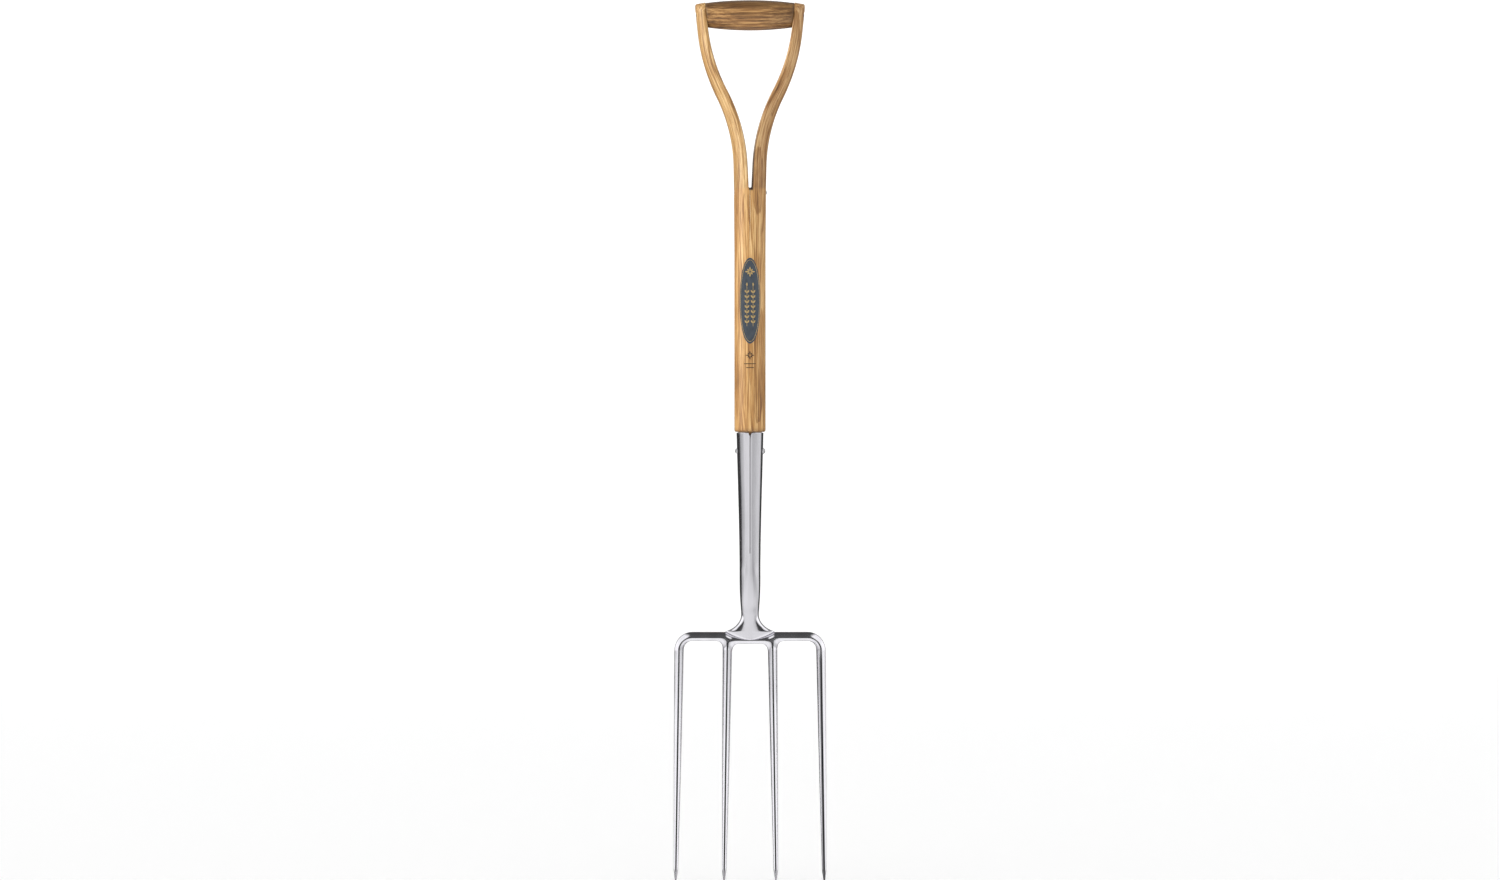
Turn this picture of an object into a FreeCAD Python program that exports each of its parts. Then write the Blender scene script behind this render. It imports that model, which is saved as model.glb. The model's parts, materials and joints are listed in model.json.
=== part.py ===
"""Digging fork: a forged stainless head riveted to an ash shaft that is split and bent into a hand grip.

Millimetres. +Z is up, -Y is the front, and the fork stands on its tine tips at z = 0. The origin is on
the ground in the middle of the fork's width and depth, so the shaft's axis stands at y = AXIS_Y.
Everything is modelled about the shaft's axis, and is moved to the origin when it is written.
"""

import FreeCAD
import Part

import math
import os

from FreeCAD import Placement, Rotation, Vector

AXIS_Y = 9.2  # from the origin back to the axis of the shaft, which centres the depth

# Head: one forging, whose lower part leans forward on an arc
SWEEP_START_Z = 400.0  # the head's centre line is straight above this
SWEEP_R = 2200.0
BAR_Z = 286.6  # middle of the cross bar that carries the tines
BAR_ACROSS = 11.0  # the cross bar and tines are slightly flattened square bar, set corner forward
BAR_DEPTH_SHARE = 0.9  # front to back, as a share of the size across
BAR_CORNER_R = 2.0
BAR_BEND_R = 15.5
OUTER_TINE_X = 83.2
OUTER_TIP_X = 87.0
INNER_TINE_X = 26.4
INNER_TIP_X = 30.4
INNER_ROOT_ACROSS = 10.8
TINE_END_ACROSS = 5.4  # just above the point
POINT_LENGTH = 14.0
POINT_ACROSS = 1.5
POINT_CORNER_R = 0.3

INNER_ROOT = (  # depth below the middle of the cross bar, and width there
    (3.2, 25.0),
    (5.8, 18.4),
    (8.6, 13.6),
    (12.0, 11.3),
    (16.0, 10.8),
)
TINE_STEPS = 6

NECK = (  # height, half width, half depth, and power of the superellipse, where 2 is an ellipse
    (371.0, 12.3, 12.2, 2.1),
    (354.0, 12.3, 11.8, 2.3),
    (342.0, 12.1, 11.1, 2.5),
    (331.0, 11.6, 10.3, 2.6),
    (321.0, 10.9, 9.4, 2.7),
)
NECK_SQUARENESS = 2.7
NECK_HALF_WIDTH = 10.3
NECK_HALF_DEPTH = 8.8
FLARE_TOP_Z = 312.5
FLARE_R = 28.0  # sideways, from the neck out along the cross bar
FLARE_DROP = 21.2
FLARE_ANGLE = 75.0
FLARE_STEPS = 5
FAN_HALF_DEPTH = 6.2
FAN_TOE_Z = 283.4
FAN_TOE_HALF_WIDTH = 14.0
FAN_TOE_HALF_DEPTH = 3.6
SECTION_POINTS = 28

MOUTH_Z = 526.2  # the open end of the socket
MOUTH_R = 15.9
SOCKET_LOW_Z = 388.0
SOCKET_LOW_R = 12.5
SOCKET_STEPS = 6
BORE_MOUTH_R = 13.9
BORE_END_Z = 360.0
BORE_END_R = 9.9
SEAM_WIDTH = 0.7
SEAM_END_Z = 384.0
SEAM_NOTCH = 2.2  # the seam opens in a V at the mouth

# Handle: ash, one piece from the tapered end in the socket to the tops of the two arms
SHAFT_R = 18.4
SHAFT_EDGE_R = 2.5
SHAFT_SHOULDER_Z = 527.0
SHAFT_SWELL_Z = (738.0, 800.0)  # between these the shaft grows to CROTCH_R
CROTCH_R = 18.9
CROTCH_Z = 813.6
KERF = 3.0  # gap between the arms where they part
ARM_INSET = 0.2  # the arms' round outsides start this far inside the shaft's
SAW_LINE = 0.5  # the closed saw cut below the parting
SAW_LINE_END_Z = 744.0
ARM_BEND_START_Z = 840.0
ARM_BEND_MIDDLE_Z = 924.0
ARM_BEND_END_Z = 1001.0
ARM_LEAN = (2.0, 27.0, 6.0)  # degrees from upright: below, between and above the two bends
ARM_TOP_Z = 1036.0  # before the tops are rounded
ARM_MIDDLE_THICK = 14.7
ARM_TOP_THICK = 12.9
ARM_TOP_HALF_DEPTH = 13.5
ARM_EDGE_R = (0.4, 3.4)  # inner edges, at the parting and from the first bend up
ARM_STATIONS = 17
ARM_CAP_TILT = 10.0
ARM_CAP_RISE = 0.5  # from the grip's axis up to the centre of the rounded top

# Hand grip and its rod
GRIP_Z = 1017.2
GRIP_R = 17.8
GRIP_BARREL_R = 390.0  # the arc that swells the grip
TENON_R = 7.5
TENON_LENGTH = 7.5
ROD_R = 2.2
BURR_R = 4.2
BURR_THICK = 1.0
BURR_RECESS = 1.7
ROD_END_R = 3.2
ROD_END_HEIGHT = 0.8

# Rivets
YOKE_RIVET_Z = 808.6
YOKE_RIVET_R = 2.0
YOKE_HEAD_R = 2.5
YOKE_HEAD_HEIGHT = 0.9
YOKE_PEEN_R = 2.4
YOKE_PEEN_HEIGHT = 0.5
YOKE_BURR_R = 3.6
YOKE_BURR_THICK = 1.0
YOKE_BURR_RECESS = 1.6
SOCKET_RIVET_Z = 504.6
SOCKET_RIVET_R = 2.3
SOCKET_HEAD_R = 3.6
SOCKET_HEAD_HEIGHT = 2.6
SOCKET_PEEN_R = 3.0
SOCKET_PEEN_HEIGHT = 2.4
RIVET_SEAT = 1.0  # how far a head reaches back to meet the round surface under it

# Oval transfer on the front of the shaft
LABEL_Z = 681.0
LABEL_HALF_HEIGHT = 50.4
LABEL_HALF_WIDTH = 12.0  # seen from the front
LABEL_THICK = 0.15

X_AXIS = Vector(1, 0, 0)
Y_AXIS = Vector(0, 1, 0)
Z_AXIS = Vector(0, 0, 1)
CLEAR = 60.0  # longer than any cut has to reach


# ---- curves and sections, each drawn in the XY plane about the origin ----

def rounded_diamond(width, depth, corner):
    """A square or rhombus standing on its corner, with every corner rounded."""
    a = width / 2 - corner
    b = depth / 2 - corner
    side = math.atan2(a, b)
    arcs = []
    for k, (x, y) in enumerate(((a, 0), (0, b), (-a, 0), (0, -b))):
        facing = k * math.pi / 2
        half = side if k % 2 == 0 else math.pi / 2 - side
        circle = Part.Circle(Vector(x, y, 0), Z_AXIS, corner)
        arcs.append(Part.ArcOfCircle(circle, facing - half, facing + half))
    edges = []
    for k, arc in enumerate(arcs):
        following = arcs[(k + 1) % len(arcs)]
        edges.append(arc.toShape())
        edges.append(Part.makeLine(arc.EndPoint, following.StartPoint))
    return Part.Wire(edges)


def superellipse(half_width, half_depth, power):
    """A closed oval that is squarer as power rises above 2."""
    points = []
    for k in range(SECTION_POINTS):
        t = 2 * math.pi * k / SECTION_POINTS
        c, s = math.cos(t), math.sin(t)
        x = half_width * math.copysign(abs(c) ** (2 / power), c)
        y = half_depth * math.copysign(abs(s) ** (2 / power), s)
        points.append(Vector(x, y, 0))
    curve = Part.BSplineCurve()
    curve.interpolate(points, PeriodicFlag=True)
    return Part.Wire([curve.toShape()])


def half_round(thick, half_depth, edge):
    """An arm's section: a flat sawn face on x = 0, rounded edges, and the shaft's round outside."""
    inset = KERF / 2
    semi = thick + inset
    start = math.asin((edge + inset) / semi)
    points = []
    steps = 12
    for k in range(steps + 1):
        t = start + (math.pi - 2 * start) * k / steps
        points.append(Vector(semi * math.sin(t) - inset, half_depth * math.cos(t), 0))
    outside = Part.BSplineCurve()
    outside.interpolate(points)
    rise = edge * math.tan(start) * half_depth / semi
    high = half_depth * math.cos(start) + rise
    upper = Part.BezierCurve()
    upper.setPoles([Vector(0, high - edge, 0), Vector(0, high, 0), points[0]])
    lower = Part.BezierCurve()
    lower.setPoles([points[-1], Vector(0, -high, 0), Vector(0, edge - high, 0)])
    flat = Part.makeLine(Vector(0, edge - high, 0), Vector(0, high - edge, 0))
    return Part.Wire([flat, upper.toShape(), outside.toShape(), lower.toShape()])


# ---- the head ----

def sweep_tilt(z):
    """How far the head's centre line leans forward at height z, in radians."""
    return math.asin(max(0.0, SWEEP_START_Z - z) / SWEEP_R)


def on_sweep(shape, z, x=0.0):
    """Puts a shape drawn about the origin on the head's centre line at height z, square to it."""
    tilt = sweep_tilt(z)
    y = -SWEEP_R * (1 - math.cos(tilt))
    placed = shape.copy()
    there = Placement(Vector(x, y, z), Rotation(X_AXIS, -math.degrees(tilt)))
    placed.Placement = there * placed.Placement
    return placed


def loft(sections):
    return Part.makeLoft(sections, True, False)


def socket_and_shoulder():
    """The outside of the socket, neck and shoulder, and the fan that dies away over the cross bar."""
    sections = []
    for k in range(SOCKET_STEPS + 1):
        share = 1 - k / SOCKET_STEPS
        r = SOCKET_LOW_R + share * (MOUTH_R - SOCKET_LOW_R)
        sections.append(on_sweep(superellipse(r, r, 2.0), SOCKET_LOW_Z + share * (MOUTH_Z - SOCKET_LOW_Z)))
    for z, half_width, half_depth, power in NECK:
        sections.append(on_sweep(superellipse(half_width, half_depth, power), z))
    for k in range(FLARE_STEPS + 1):
        angle = math.radians(FLARE_ANGLE * k / FLARE_STEPS)
        half_width = NECK_HALF_WIDTH + FLARE_R * (1 - math.cos(angle))
        half_depth = NECK_HALF_DEPTH - (NECK_HALF_DEPTH - FAN_HALF_DEPTH) * k / FLARE_STEPS
        z = FLARE_TOP_Z - FLARE_DROP * math.sin(angle)
        sections.append(on_sweep(superellipse(half_width, half_depth, NECK_SQUARENESS), z))
    toe = on_sweep(superellipse(FAN_TOE_HALF_WIDTH, FAN_TOE_HALF_DEPTH, NECK_SQUARENESS), FAN_TOE_Z)
    fan = Part.makeLoft([sections[-1], toe], True, True)
    return loft(sections).fuse(fan)


def cross_bar():
    """The cross bar with its two end bends, drawn upright about its own middle and then leaned."""
    bar = Part.Face(rounded_diamond(BAR_ACROSS, BAR_ACROSS * BAR_DEPTH_SHARE, BAR_CORNER_R))
    reach = OUTER_TINE_X - BAR_BEND_R
    bar.rotate(Vector(), Y_AXIS, 90)
    bar.translate(Vector(-reach, 0, 0))
    solid = bar.extrude(Vector(2 * reach, 0, 0))
    for side in (-1, 1):
        end = bar.copy()
        end.translate(Vector(reach + side * reach, 0, 0))
        centre = Vector(side * reach, 0, -BAR_BEND_R)
        solid = solid.fuse(end.revolve(centre, Y_AXIS * side, 90))
    return on_sweep(solid, BAR_Z)


def tine_section(root_x, tip_x, z, across, corner):
    """A tine's section at height z; the tines spread a little from root to tip."""
    wire = rounded_diamond(across, across * BAR_DEPTH_SHARE, corner)
    return on_sweep(wire, z, root_x + (tip_x - root_x) * (1 - z / BAR_Z))


def tine(root_x, tip_x, root_z, root_across):
    """A tapering tine that ends in a four-sided point."""
    sections = []
    for k in range(TINE_STEPS + 1):
        share = k / TINE_STEPS
        z = root_z + (POINT_LENGTH - root_z) * share
        across = root_across + (TINE_END_ACROSS - root_across) * share
        corner = BAR_CORNER_R * across / BAR_ACROSS
        sections.append(tine_section(root_x, tip_x, z, across, corner))
    point_z = POINT_ACROSS * BAR_DEPTH_SHARE / 2 * math.sin(sweep_tilt(0))
    point = tine_section(root_x, tip_x, point_z, POINT_ACROSS, POINT_CORNER_R)
    return loft(sections).fuse(Part.makeLoft([sections[-1], point], True, True))


def outer_tine():
    """The right-hand outer tine, from the end of the cross bar's bend."""
    return tine(OUTER_TINE_X, OUTER_TIP_X, BAR_Z - BAR_BEND_R, BAR_ACROSS)


def inner_tine():
    """The right-hand inner tine, with a root that spreads into the cross bar."""
    root = []
    for drop, width in INNER_ROOT:
        wire = rounded_diamond(width, INNER_ROOT_ACROSS * BAR_DEPTH_SHARE, BAR_CORNER_R)
        root.append(on_sweep(wire, BAR_Z - drop, INNER_TINE_X))
    low_z = BAR_Z - INNER_ROOT[-1][0]
    shank = tine(INNER_TINE_X, INNER_TIP_X, low_z, INNER_ROOT_ACROSS)
    return loft(root).fuse(shank)


def both_sides(shape):
    return [shape, shape.mirror(Vector(), X_AXIS)]


def socket_bore():
    """The tapered hole for the shaft, with a conical end."""
    taper = Part.makeCone(BORE_END_R, BORE_MOUTH_R, MOUTH_Z - BORE_END_Z)
    taper.translate(Vector(0, 0, BORE_END_Z))
    tip = Part.makeCone(0.5, BORE_END_R, BORE_END_R / 2)
    tip.translate(Vector(0, 0, BORE_END_Z - BORE_END_R / 2))
    mouth = Part.makeCylinder(BORE_MOUTH_R, 1.0, Vector(0, 0, MOUTH_Z))
    return taper.fuse([tip, mouth])


def socket_seam():
    """Where the rolled edges of the socket meet, up the front, opening in a V at the mouth."""
    slit = Part.makeBox(SEAM_WIDTH, CLEAR, MOUTH_Z - SEAM_END_Z)
    slit.translate(Vector(-SEAM_WIDTH / 2, -CLEAR, SEAM_END_Z))
    corners = [Vector(-SEAM_NOTCH, 0, MOUTH_Z), Vector(0, 0, MOUTH_Z - 2 * SEAM_NOTCH)]
    corners += [Vector(SEAM_NOTCH, 0, MOUTH_Z), corners[0]]
    notch = Part.Face(Part.makePolygon(corners)).extrude(Vector(0, -CLEAR, 0))
    return slit.fuse(notch)


def fork_head():
    tines = both_sides(outer_tine()) + both_sides(inner_tine())
    forging = socket_and_shoulder().fuse([cross_bar()] + tines)
    hole = rod_along_x(SOCKET_RIVET_R, -CLEAR / 2, CLEAR / 2, SOCKET_RIVET_Z)
    return forging.cut([socket_bore(), socket_seam(), hole]).removeSplitter()


# ---- the handle ----

def rod_along_x(radius, x_from, x_to, z):
    return Part.makeCylinder(radius, x_to - x_from, Vector(x_from, 0, z), X_AXIS)


def arm_path(z):
    """The middle of an arm at height z: its x, and its lean from upright in radians."""
    low, steep, high = (math.radians(a) for a in ARM_LEAN)
    x = (KERF / 2 + CROTCH_R - ARM_INSET) / 2
    if z <= ARM_BEND_START_Z:
        return x + (z - CROTCH_Z) * math.tan(low), low
    x += (ARM_BEND_START_Z - CROTCH_Z) * math.tan(low)
    for z0, z1, a0, a1 in (
        (ARM_BEND_START_Z, ARM_BEND_MIDDLE_Z, low, steep),
        (ARM_BEND_MIDDLE_Z, ARM_BEND_END_Z, steep, high),
    ):
        per_z = (math.sin(a1) - math.sin(a0)) / (z1 - z0)
        lean = math.asin(math.sin(a0) + (min(z, z1) - z0) * per_z)
        x += (math.cos(a0) - math.cos(lean)) / per_z
        if z <= z1:
            return x, lean
    return x + (z - ARM_BEND_END_Z) * math.tan(high), high


def between(z, z0, z1, at_z0, at_z1):
    share = min(1.0, max(0.0, (z - z0) / (z1 - z0)))
    return at_z0 + (at_z1 - at_z0) * share


def arm_section(z):
    """The right arm's section at height z, square to its path."""
    foot_r = CROTCH_R - ARM_INSET
    if z < ARM_BEND_MIDDLE_Z:
        thick = between(z, CROTCH_Z, ARM_BEND_MIDDLE_Z, foot_r - KERF / 2, ARM_MIDDLE_THICK)
    else:
        thick = between(z, ARM_BEND_MIDDLE_Z, ARM_BEND_END_Z, ARM_MIDDLE_THICK, ARM_TOP_THICK)
    half_depth = between(z, CROTCH_Z, ARM_BEND_END_Z, foot_r, ARM_TOP_HALF_DEPTH)
    edge = between(z, CROTCH_Z, ARM_BEND_START_Z, *ARM_EDGE_R)
    x, lean = arm_path(z)
    if z == CROTCH_Z:
        lean = 0.0
    wire = half_round(thick, half_depth, edge)
    wire.translate(Vector(-thick / 2, 0, 0))
    wire.Placement = Placement(Vector(x, 0, z), Rotation(Y_AXIS, math.degrees(lean))) * wire.Placement
    return wire


def arm_top_x():
    return arm_path(GRIP_Z)[0]


def arm_cap():
    """Everything under a rounded top that slopes outward; an arm is what lies inside it."""
    cap = rod_along_x(ARM_TOP_HALF_DEPTH, -CLEAR / 2, CLEAR / 2, 0)
    below = Part.makeBox(2 * CLEAR, 2 * CLEAR, ARM_TOP_Z - CROTCH_Z + CLEAR)
    below.translate(Vector(-CLEAR, -CLEAR, CROTCH_Z - ARM_TOP_Z - CLEAR))
    cap = cap.fuse(below)
    cap.rotate(Vector(), Y_AXIS, ARM_CAP_TILT)
    cap.translate(Vector(arm_top_x(), 0, GRIP_Z + ARM_CAP_RISE))
    return cap


def bent_arm():
    """The right arm, holed for the grip's tenon and the rod, and recessed for the burr."""
    step = (ARM_TOP_Z - CROTCH_Z) / (ARM_STATIONS - 1)
    arm = loft([arm_section(CROTCH_Z + step * k) for k in range(ARM_STATIONS)])
    arm = arm.common(arm_cap())
    tenon = rod_along_x(TENON_R, 0, inner_face_x() + TENON_LENGTH, GRIP_Z)
    hole = rod_along_x(ROD_R, 0, 2 * CLEAR, GRIP_Z)
    recess = rod_along_x(BURR_R, outer_face_x() - BURR_RECESS, 2 * CLEAR, GRIP_Z)
    return arm.cut([tenon, hole, recess])


def inner_face_x():
    """Where an arm's flat inner face crosses the grip's axis."""
    x, lean = arm_path(GRIP_Z)
    return x - ARM_TOP_THICK / 2 / math.cos(lean)


def outer_face_x():
    """Where an arm's round outer face crosses the grip's axis."""
    x, lean = arm_path(GRIP_Z)
    return x + ARM_TOP_THICK / 2 / math.cos(lean)


def bore_radius(z):
    return between(z, BORE_END_Z, MOUTH_Z, BORE_END_R, BORE_MOUTH_R)


def handle_shaft():
    """Revolved shaft with its tapered end, the two arms, the saw cut and the rivet holes."""
    end_z = BORE_END_Z + 2.0
    chamfer = 2.0
    edge = SHAFT_SHOULDER_Z + SHAFT_EDGE_R
    middle = SHAFT_EDGE_R * (1 - math.sqrt(0.5))
    points = [
        Vector(0, 0, end_z),
        Vector(bore_radius(end_z) - chamfer, 0, end_z),
        Vector(bore_radius(end_z + chamfer), 0, end_z + chamfer),
        Vector(BORE_MOUTH_R, 0, MOUTH_Z),
        Vector(BORE_MOUTH_R, 0, SHAFT_SHOULDER_Z),
        Vector(SHAFT_R - SHAFT_EDGE_R, 0, SHAFT_SHOULDER_Z),
    ]
    rounded = Part.Arc(
        points[-1],
        Vector(SHAFT_R - middle, 0, SHAFT_SHOULDER_Z + middle),
        Vector(SHAFT_R, 0, edge),
    )
    above = [
        Vector(SHAFT_R, 0, edge),
        Vector(SHAFT_R, 0, SHAFT_SWELL_Z[0]),
        Vector(CROTCH_R, 0, SHAFT_SWELL_Z[1]),
        Vector(CROTCH_R, 0, CROTCH_Z),
        Vector(0, 0, CROTCH_Z),
        points[0],
    ]
    lower = Part.makePolygon(points).Edges
    upper = Part.makePolygon(above).Edges
    profile = Part.Face(Part.Wire(lower + [rounded.toShape()] + upper))
    shaft = profile.revolve(Vector(), Z_AXIS, 360)
    shaft = shaft.fuse(both_sides(bent_arm()))
    saw_line = Part.makeBox(SAW_LINE, 2 * CLEAR, CROTCH_Z + KERF - SAW_LINE_END_Z)
    saw_line.translate(Vector(-SAW_LINE / 2, -CLEAR, SAW_LINE_END_Z))
    cuts = [
        saw_line,
        rod_along_x(SOCKET_RIVET_R, -CLEAR, CLEAR, SOCKET_RIVET_Z),
        rod_along_x(YOKE_RIVET_R, -CLEAR, CLEAR, YOKE_RIVET_Z),
        rod_along_x(YOKE_BURR_R, -CLEAR, YOKE_BURR_RECESS - CROTCH_R, YOKE_RIVET_Z),
    ]
    return shaft.cut(cuts).removeSplitter()


def hand_grip():
    """The barrel between the arms, with a tenon at each end and a hole for the rod."""
    half = inner_face_x() + ARM_TOP_THICK / 2

    def barrel_point(x):
        return Vector(x, 0, GRIP_R - x * x / (2 * GRIP_BARREL_R))

    top = Part.Arc(barrel_point(-half), barrel_point(0), barrel_point(half))
    ends = [barrel_point(half), Vector(half, 0, 0), Vector(-half, 0, 0), barrel_point(-half)]
    outline = Part.Wire([top.toShape()] + Part.makePolygon(ends).Edges)
    barrel = Part.Face(outline).revolve(Vector(), X_AXIS, 360)
    barrel.translate(Vector(0, 0, GRIP_Z))
    beyond = Part.makeBox(CLEAR, CLEAR, CLEAR)
    beyond.translate(Vector(0, -CLEAR / 2, -CLEAR / 2))
    beyond.rotate(Vector(), Y_AXIS, math.degrees(arm_path(GRIP_Z)[1]))
    beyond.translate(Vector(inner_face_x(), 0, GRIP_Z))
    barrel = barrel.cut(both_sides(beyond))
    reach = inner_face_x() + TENON_LENGTH
    tenons = rod_along_x(TENON_R, -reach, reach, GRIP_Z)
    hole = rod_along_x(ROD_R, -CLEAR * 2, CLEAR * 2, GRIP_Z)
    return barrel.fuse(tenons).cut(hole).removeSplitter()


# ---- rods, rivets and burrs ----

def dome(base_r, height):
    """A rivet head: a spherical cap on the YZ plane, facing +X."""
    ball_r = (base_r**2 + height**2) / (2 * height)
    ball = Part.makeSphere(ball_r, Vector(height - ball_r, 0, 0))
    keep = Part.makeBox(CLEAR, 2 * CLEAR, 2 * CLEAR)
    keep.translate(Vector(0, -CLEAR, -CLEAR))
    return ball.common(keep)


def washer(outer_r, inner_r, thick, x, z):
    """A burr: the ring that a rivet is peened over."""
    ring = rod_along_x(outer_r, x, x + thick, z)
    return ring.cut(rod_along_x(inner_r, x - 1.0, x + thick + 1.0, z))


def burr_seat_x():
    return outer_face_x() - BURR_RECESS


def grip_burr():
    return washer(BURR_R, ROD_R, BURR_THICK, burr_seat_x(), GRIP_Z)


def grip_rod():
    """The rod through both arms and the grip, peened over a burr at each end."""
    reach = burr_seat_x() + BURR_THICK
    end = dome(ROD_END_R, ROD_END_HEIGHT)
    end.translate(Vector(reach, 0, GRIP_Z))
    return rod_along_x(ROD_R, -reach, reach, GRIP_Z).fuse(both_sides(end)).removeSplitter()


def yoke_burr():
    """On the left, let into the shaft under the peened end of the rivet below the arms."""
    seat_x = CROTCH_R - YOKE_BURR_RECESS
    return washer(YOKE_BURR_R, YOKE_RIVET_R, YOKE_BURR_THICK, seat_x, YOKE_RIVET_Z).mirror(Vector(), X_AXIS)


def rivet(z, shank_r, right, left, shaft_r, left_in=0.0):
    """A rivet across the shaft. right and left are a dome's radius and height; the left one may be let in."""
    shank = rod_along_x(shank_r, left_in - shaft_r, shaft_r, z)
    right_head = dome(*right)
    right_head.translate(Vector(shaft_r, 0, z))
    right_seat = rod_along_x(right[0], shaft_r - RIVET_SEAT, shaft_r, z)
    left_head = dome(*left).mirror(Vector(), X_AXIS)
    left_head.translate(Vector(left_in - shaft_r, 0, z))
    return shank.fuse([right_head, right_seat, left_head]).removeSplitter()


def yoke_rivet():
    head = (YOKE_HEAD_R, YOKE_HEAD_HEIGHT)
    peened = (YOKE_PEEN_R, YOKE_PEEN_HEIGHT)
    return rivet(YOKE_RIVET_Z, YOKE_RIVET_R, head, peened, CROTCH_R, YOKE_BURR_RECESS - YOKE_BURR_THICK)


def socket_rivet():
    """Through the socket and the shaft: a formed head on the right and a peened one on the left."""
    head = (SOCKET_HEAD_R, SOCKET_HEAD_HEIGHT)
    peened = (SOCKET_PEEN_R, SOCKET_PEEN_HEIGHT)
    seat_r = between(SOCKET_RIVET_Z, SOCKET_LOW_Z, MOUTH_Z, SOCKET_LOW_R, MOUTH_R)
    body = rivet(SOCKET_RIVET_Z, SOCKET_RIVET_R, head, peened, seat_r)
    left_seat = rod_along_x(SOCKET_PEEN_R, -seat_r, RIVET_SEAT - seat_r, SOCKET_RIVET_Z)
    return body.fuse(left_seat).removeSplitter()


def shaft_label():
    """An oval of film that wraps the front of the shaft."""
    oval = Part.Ellipse(Vector(), LABEL_HALF_HEIGHT, LABEL_HALF_WIDTH).toShape()
    oval.rotate(Vector(), Z_AXIS, 90)
    oval.rotate(Vector(), X_AXIS, 90)
    oval.translate(Vector(0, 0, LABEL_Z))
    prism = Part.Face(Part.Wire([oval])).extrude(Vector(0, -CLEAR, 0))
    height = 2 * LABEL_HALF_HEIGHT + 2
    base = Vector(0, 0, LABEL_Z - height / 2)
    skin = Part.makeCylinder(SHAFT_R + LABEL_THICK, height, base)
    return skin.cut(Part.makeCylinder(SHAFT_R, height, base)).common(prism)


def build():
    """Every piece by name. A rivet's head is cut by the round surface under it, so it sits down on it."""
    head = fork_head()
    handle = handle_shaft()
    burr = grip_burr()
    return {
        "fork_head": head,
        "handle_shaft": handle,
        "hand_grip": hand_grip(),
        "grip_rod": grip_rod(),
        "grip_burr_right": burr,
        "grip_burr_left": burr.mirror(Vector(), X_AXIS),
        "yoke_rivet": yoke_rivet().cut([handle, yoke_burr()]),
        "yoke_burr": yoke_burr(),
        "socket_rivet": socket_rivet().cut(head),
        "shaft_label": shaft_label(),
    }


def write(pieces):
    os.makedirs("parts", exist_ok=True)
    for name, shape in pieces.items():
        shape.translate(Vector(0, AXIS_Y, 0))
        solids = shape.Solids
        if not solids or not all(s.isValid() and s.isClosed() for s in solids):
            raise ValueError(f"{name} is not a closed, valid solid")
        whole = solids[0] if len(solids) == 1 else Part.makeCompound(solids)
        whole.exportStep(f"parts/{name}.step")
        box = whole.optimalBoundingBox()
        print(f"{name}: {len(solids)} solid, volume {whole.Volume:.0f},", end=" ")
        print(f"x {box.XMin:.2f} {box.XMax:.2f} y {box.YMin:.2f} {box.YMax:.2f} z {box.ZMin:.2f} {box.ZMax:.2f}")


write(build())
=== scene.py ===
"""The looks of a digging fork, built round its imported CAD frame.

The steel head, the ash shaft with its bent arms, the grip and the label are modelled again here as fine
meshes; the rivets, the rod and the burrs are the CAD solids with better materials.
Shapes are drawn in millimetres about the shaft's axis, with -Y the front, and become metres in the
frame's own place when a mesh is made.
"""

import json
import math

import bmesh
import bpy
import numpy as np
from mathutils import Matrix, Vector
from mathutils.kdtree import KDTree


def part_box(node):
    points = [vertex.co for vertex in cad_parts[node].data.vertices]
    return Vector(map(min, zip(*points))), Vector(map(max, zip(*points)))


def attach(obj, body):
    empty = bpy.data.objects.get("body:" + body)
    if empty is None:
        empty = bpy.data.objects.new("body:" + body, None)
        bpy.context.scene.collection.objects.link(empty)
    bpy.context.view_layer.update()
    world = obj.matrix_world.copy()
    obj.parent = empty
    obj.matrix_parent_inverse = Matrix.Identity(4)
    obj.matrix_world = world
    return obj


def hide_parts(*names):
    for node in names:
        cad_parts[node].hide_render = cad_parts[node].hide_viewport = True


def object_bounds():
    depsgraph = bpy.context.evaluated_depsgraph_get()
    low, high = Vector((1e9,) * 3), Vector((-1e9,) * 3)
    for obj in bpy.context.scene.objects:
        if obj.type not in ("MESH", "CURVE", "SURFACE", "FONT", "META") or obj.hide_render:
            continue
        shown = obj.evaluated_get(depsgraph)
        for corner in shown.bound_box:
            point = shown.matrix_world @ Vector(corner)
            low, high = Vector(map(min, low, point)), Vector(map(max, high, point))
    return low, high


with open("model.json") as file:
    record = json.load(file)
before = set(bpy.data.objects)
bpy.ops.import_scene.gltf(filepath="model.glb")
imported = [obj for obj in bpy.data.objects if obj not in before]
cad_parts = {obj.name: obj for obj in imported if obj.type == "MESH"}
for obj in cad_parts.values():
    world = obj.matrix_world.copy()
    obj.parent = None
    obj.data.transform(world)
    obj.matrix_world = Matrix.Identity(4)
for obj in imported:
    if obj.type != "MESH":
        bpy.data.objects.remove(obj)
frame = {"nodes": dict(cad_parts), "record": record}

CAD_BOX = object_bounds()
MM = 0.001


# ---- sizes: those of the frame first, then the shapes that only this script draws ----

def box_mm(node):
    low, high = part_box(node)
    return np.array(low) / MM, np.array(high) / MM


MOUNTS = {mount["name"]: mount for mount in frame["record"]["mounts"]}
HEAD_HIGH = box_mm("fork_head")[1]
HANDLE_LOW, HANDLE_HIGH = box_mm("handle_shaft")
GRIP_LOW, GRIP_HIGH = box_mm("hand_grip")
LABEL_LOW, LABEL_HIGH = box_mm("shaft_label")

AXIS_Y = (GRIP_LOW[1] + GRIP_HIGH[1]) / 2
GRIP_Z = (GRIP_LOW[2] + GRIP_HIGH[2]) / 2
GRIP_R = MOUNTS["hang_point"]["dims"]["r_mm"]
SHAFT_R = MOUNTS["rack_clip"]["dims"]["r_mm"]
CROTCH_R = HANDLE_HIGH[1] - AXIS_Y
MOUTH_Z = HEAD_HIGH[2]
MOUTH_R = HEAD_HIGH[1] - AXIS_Y

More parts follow.
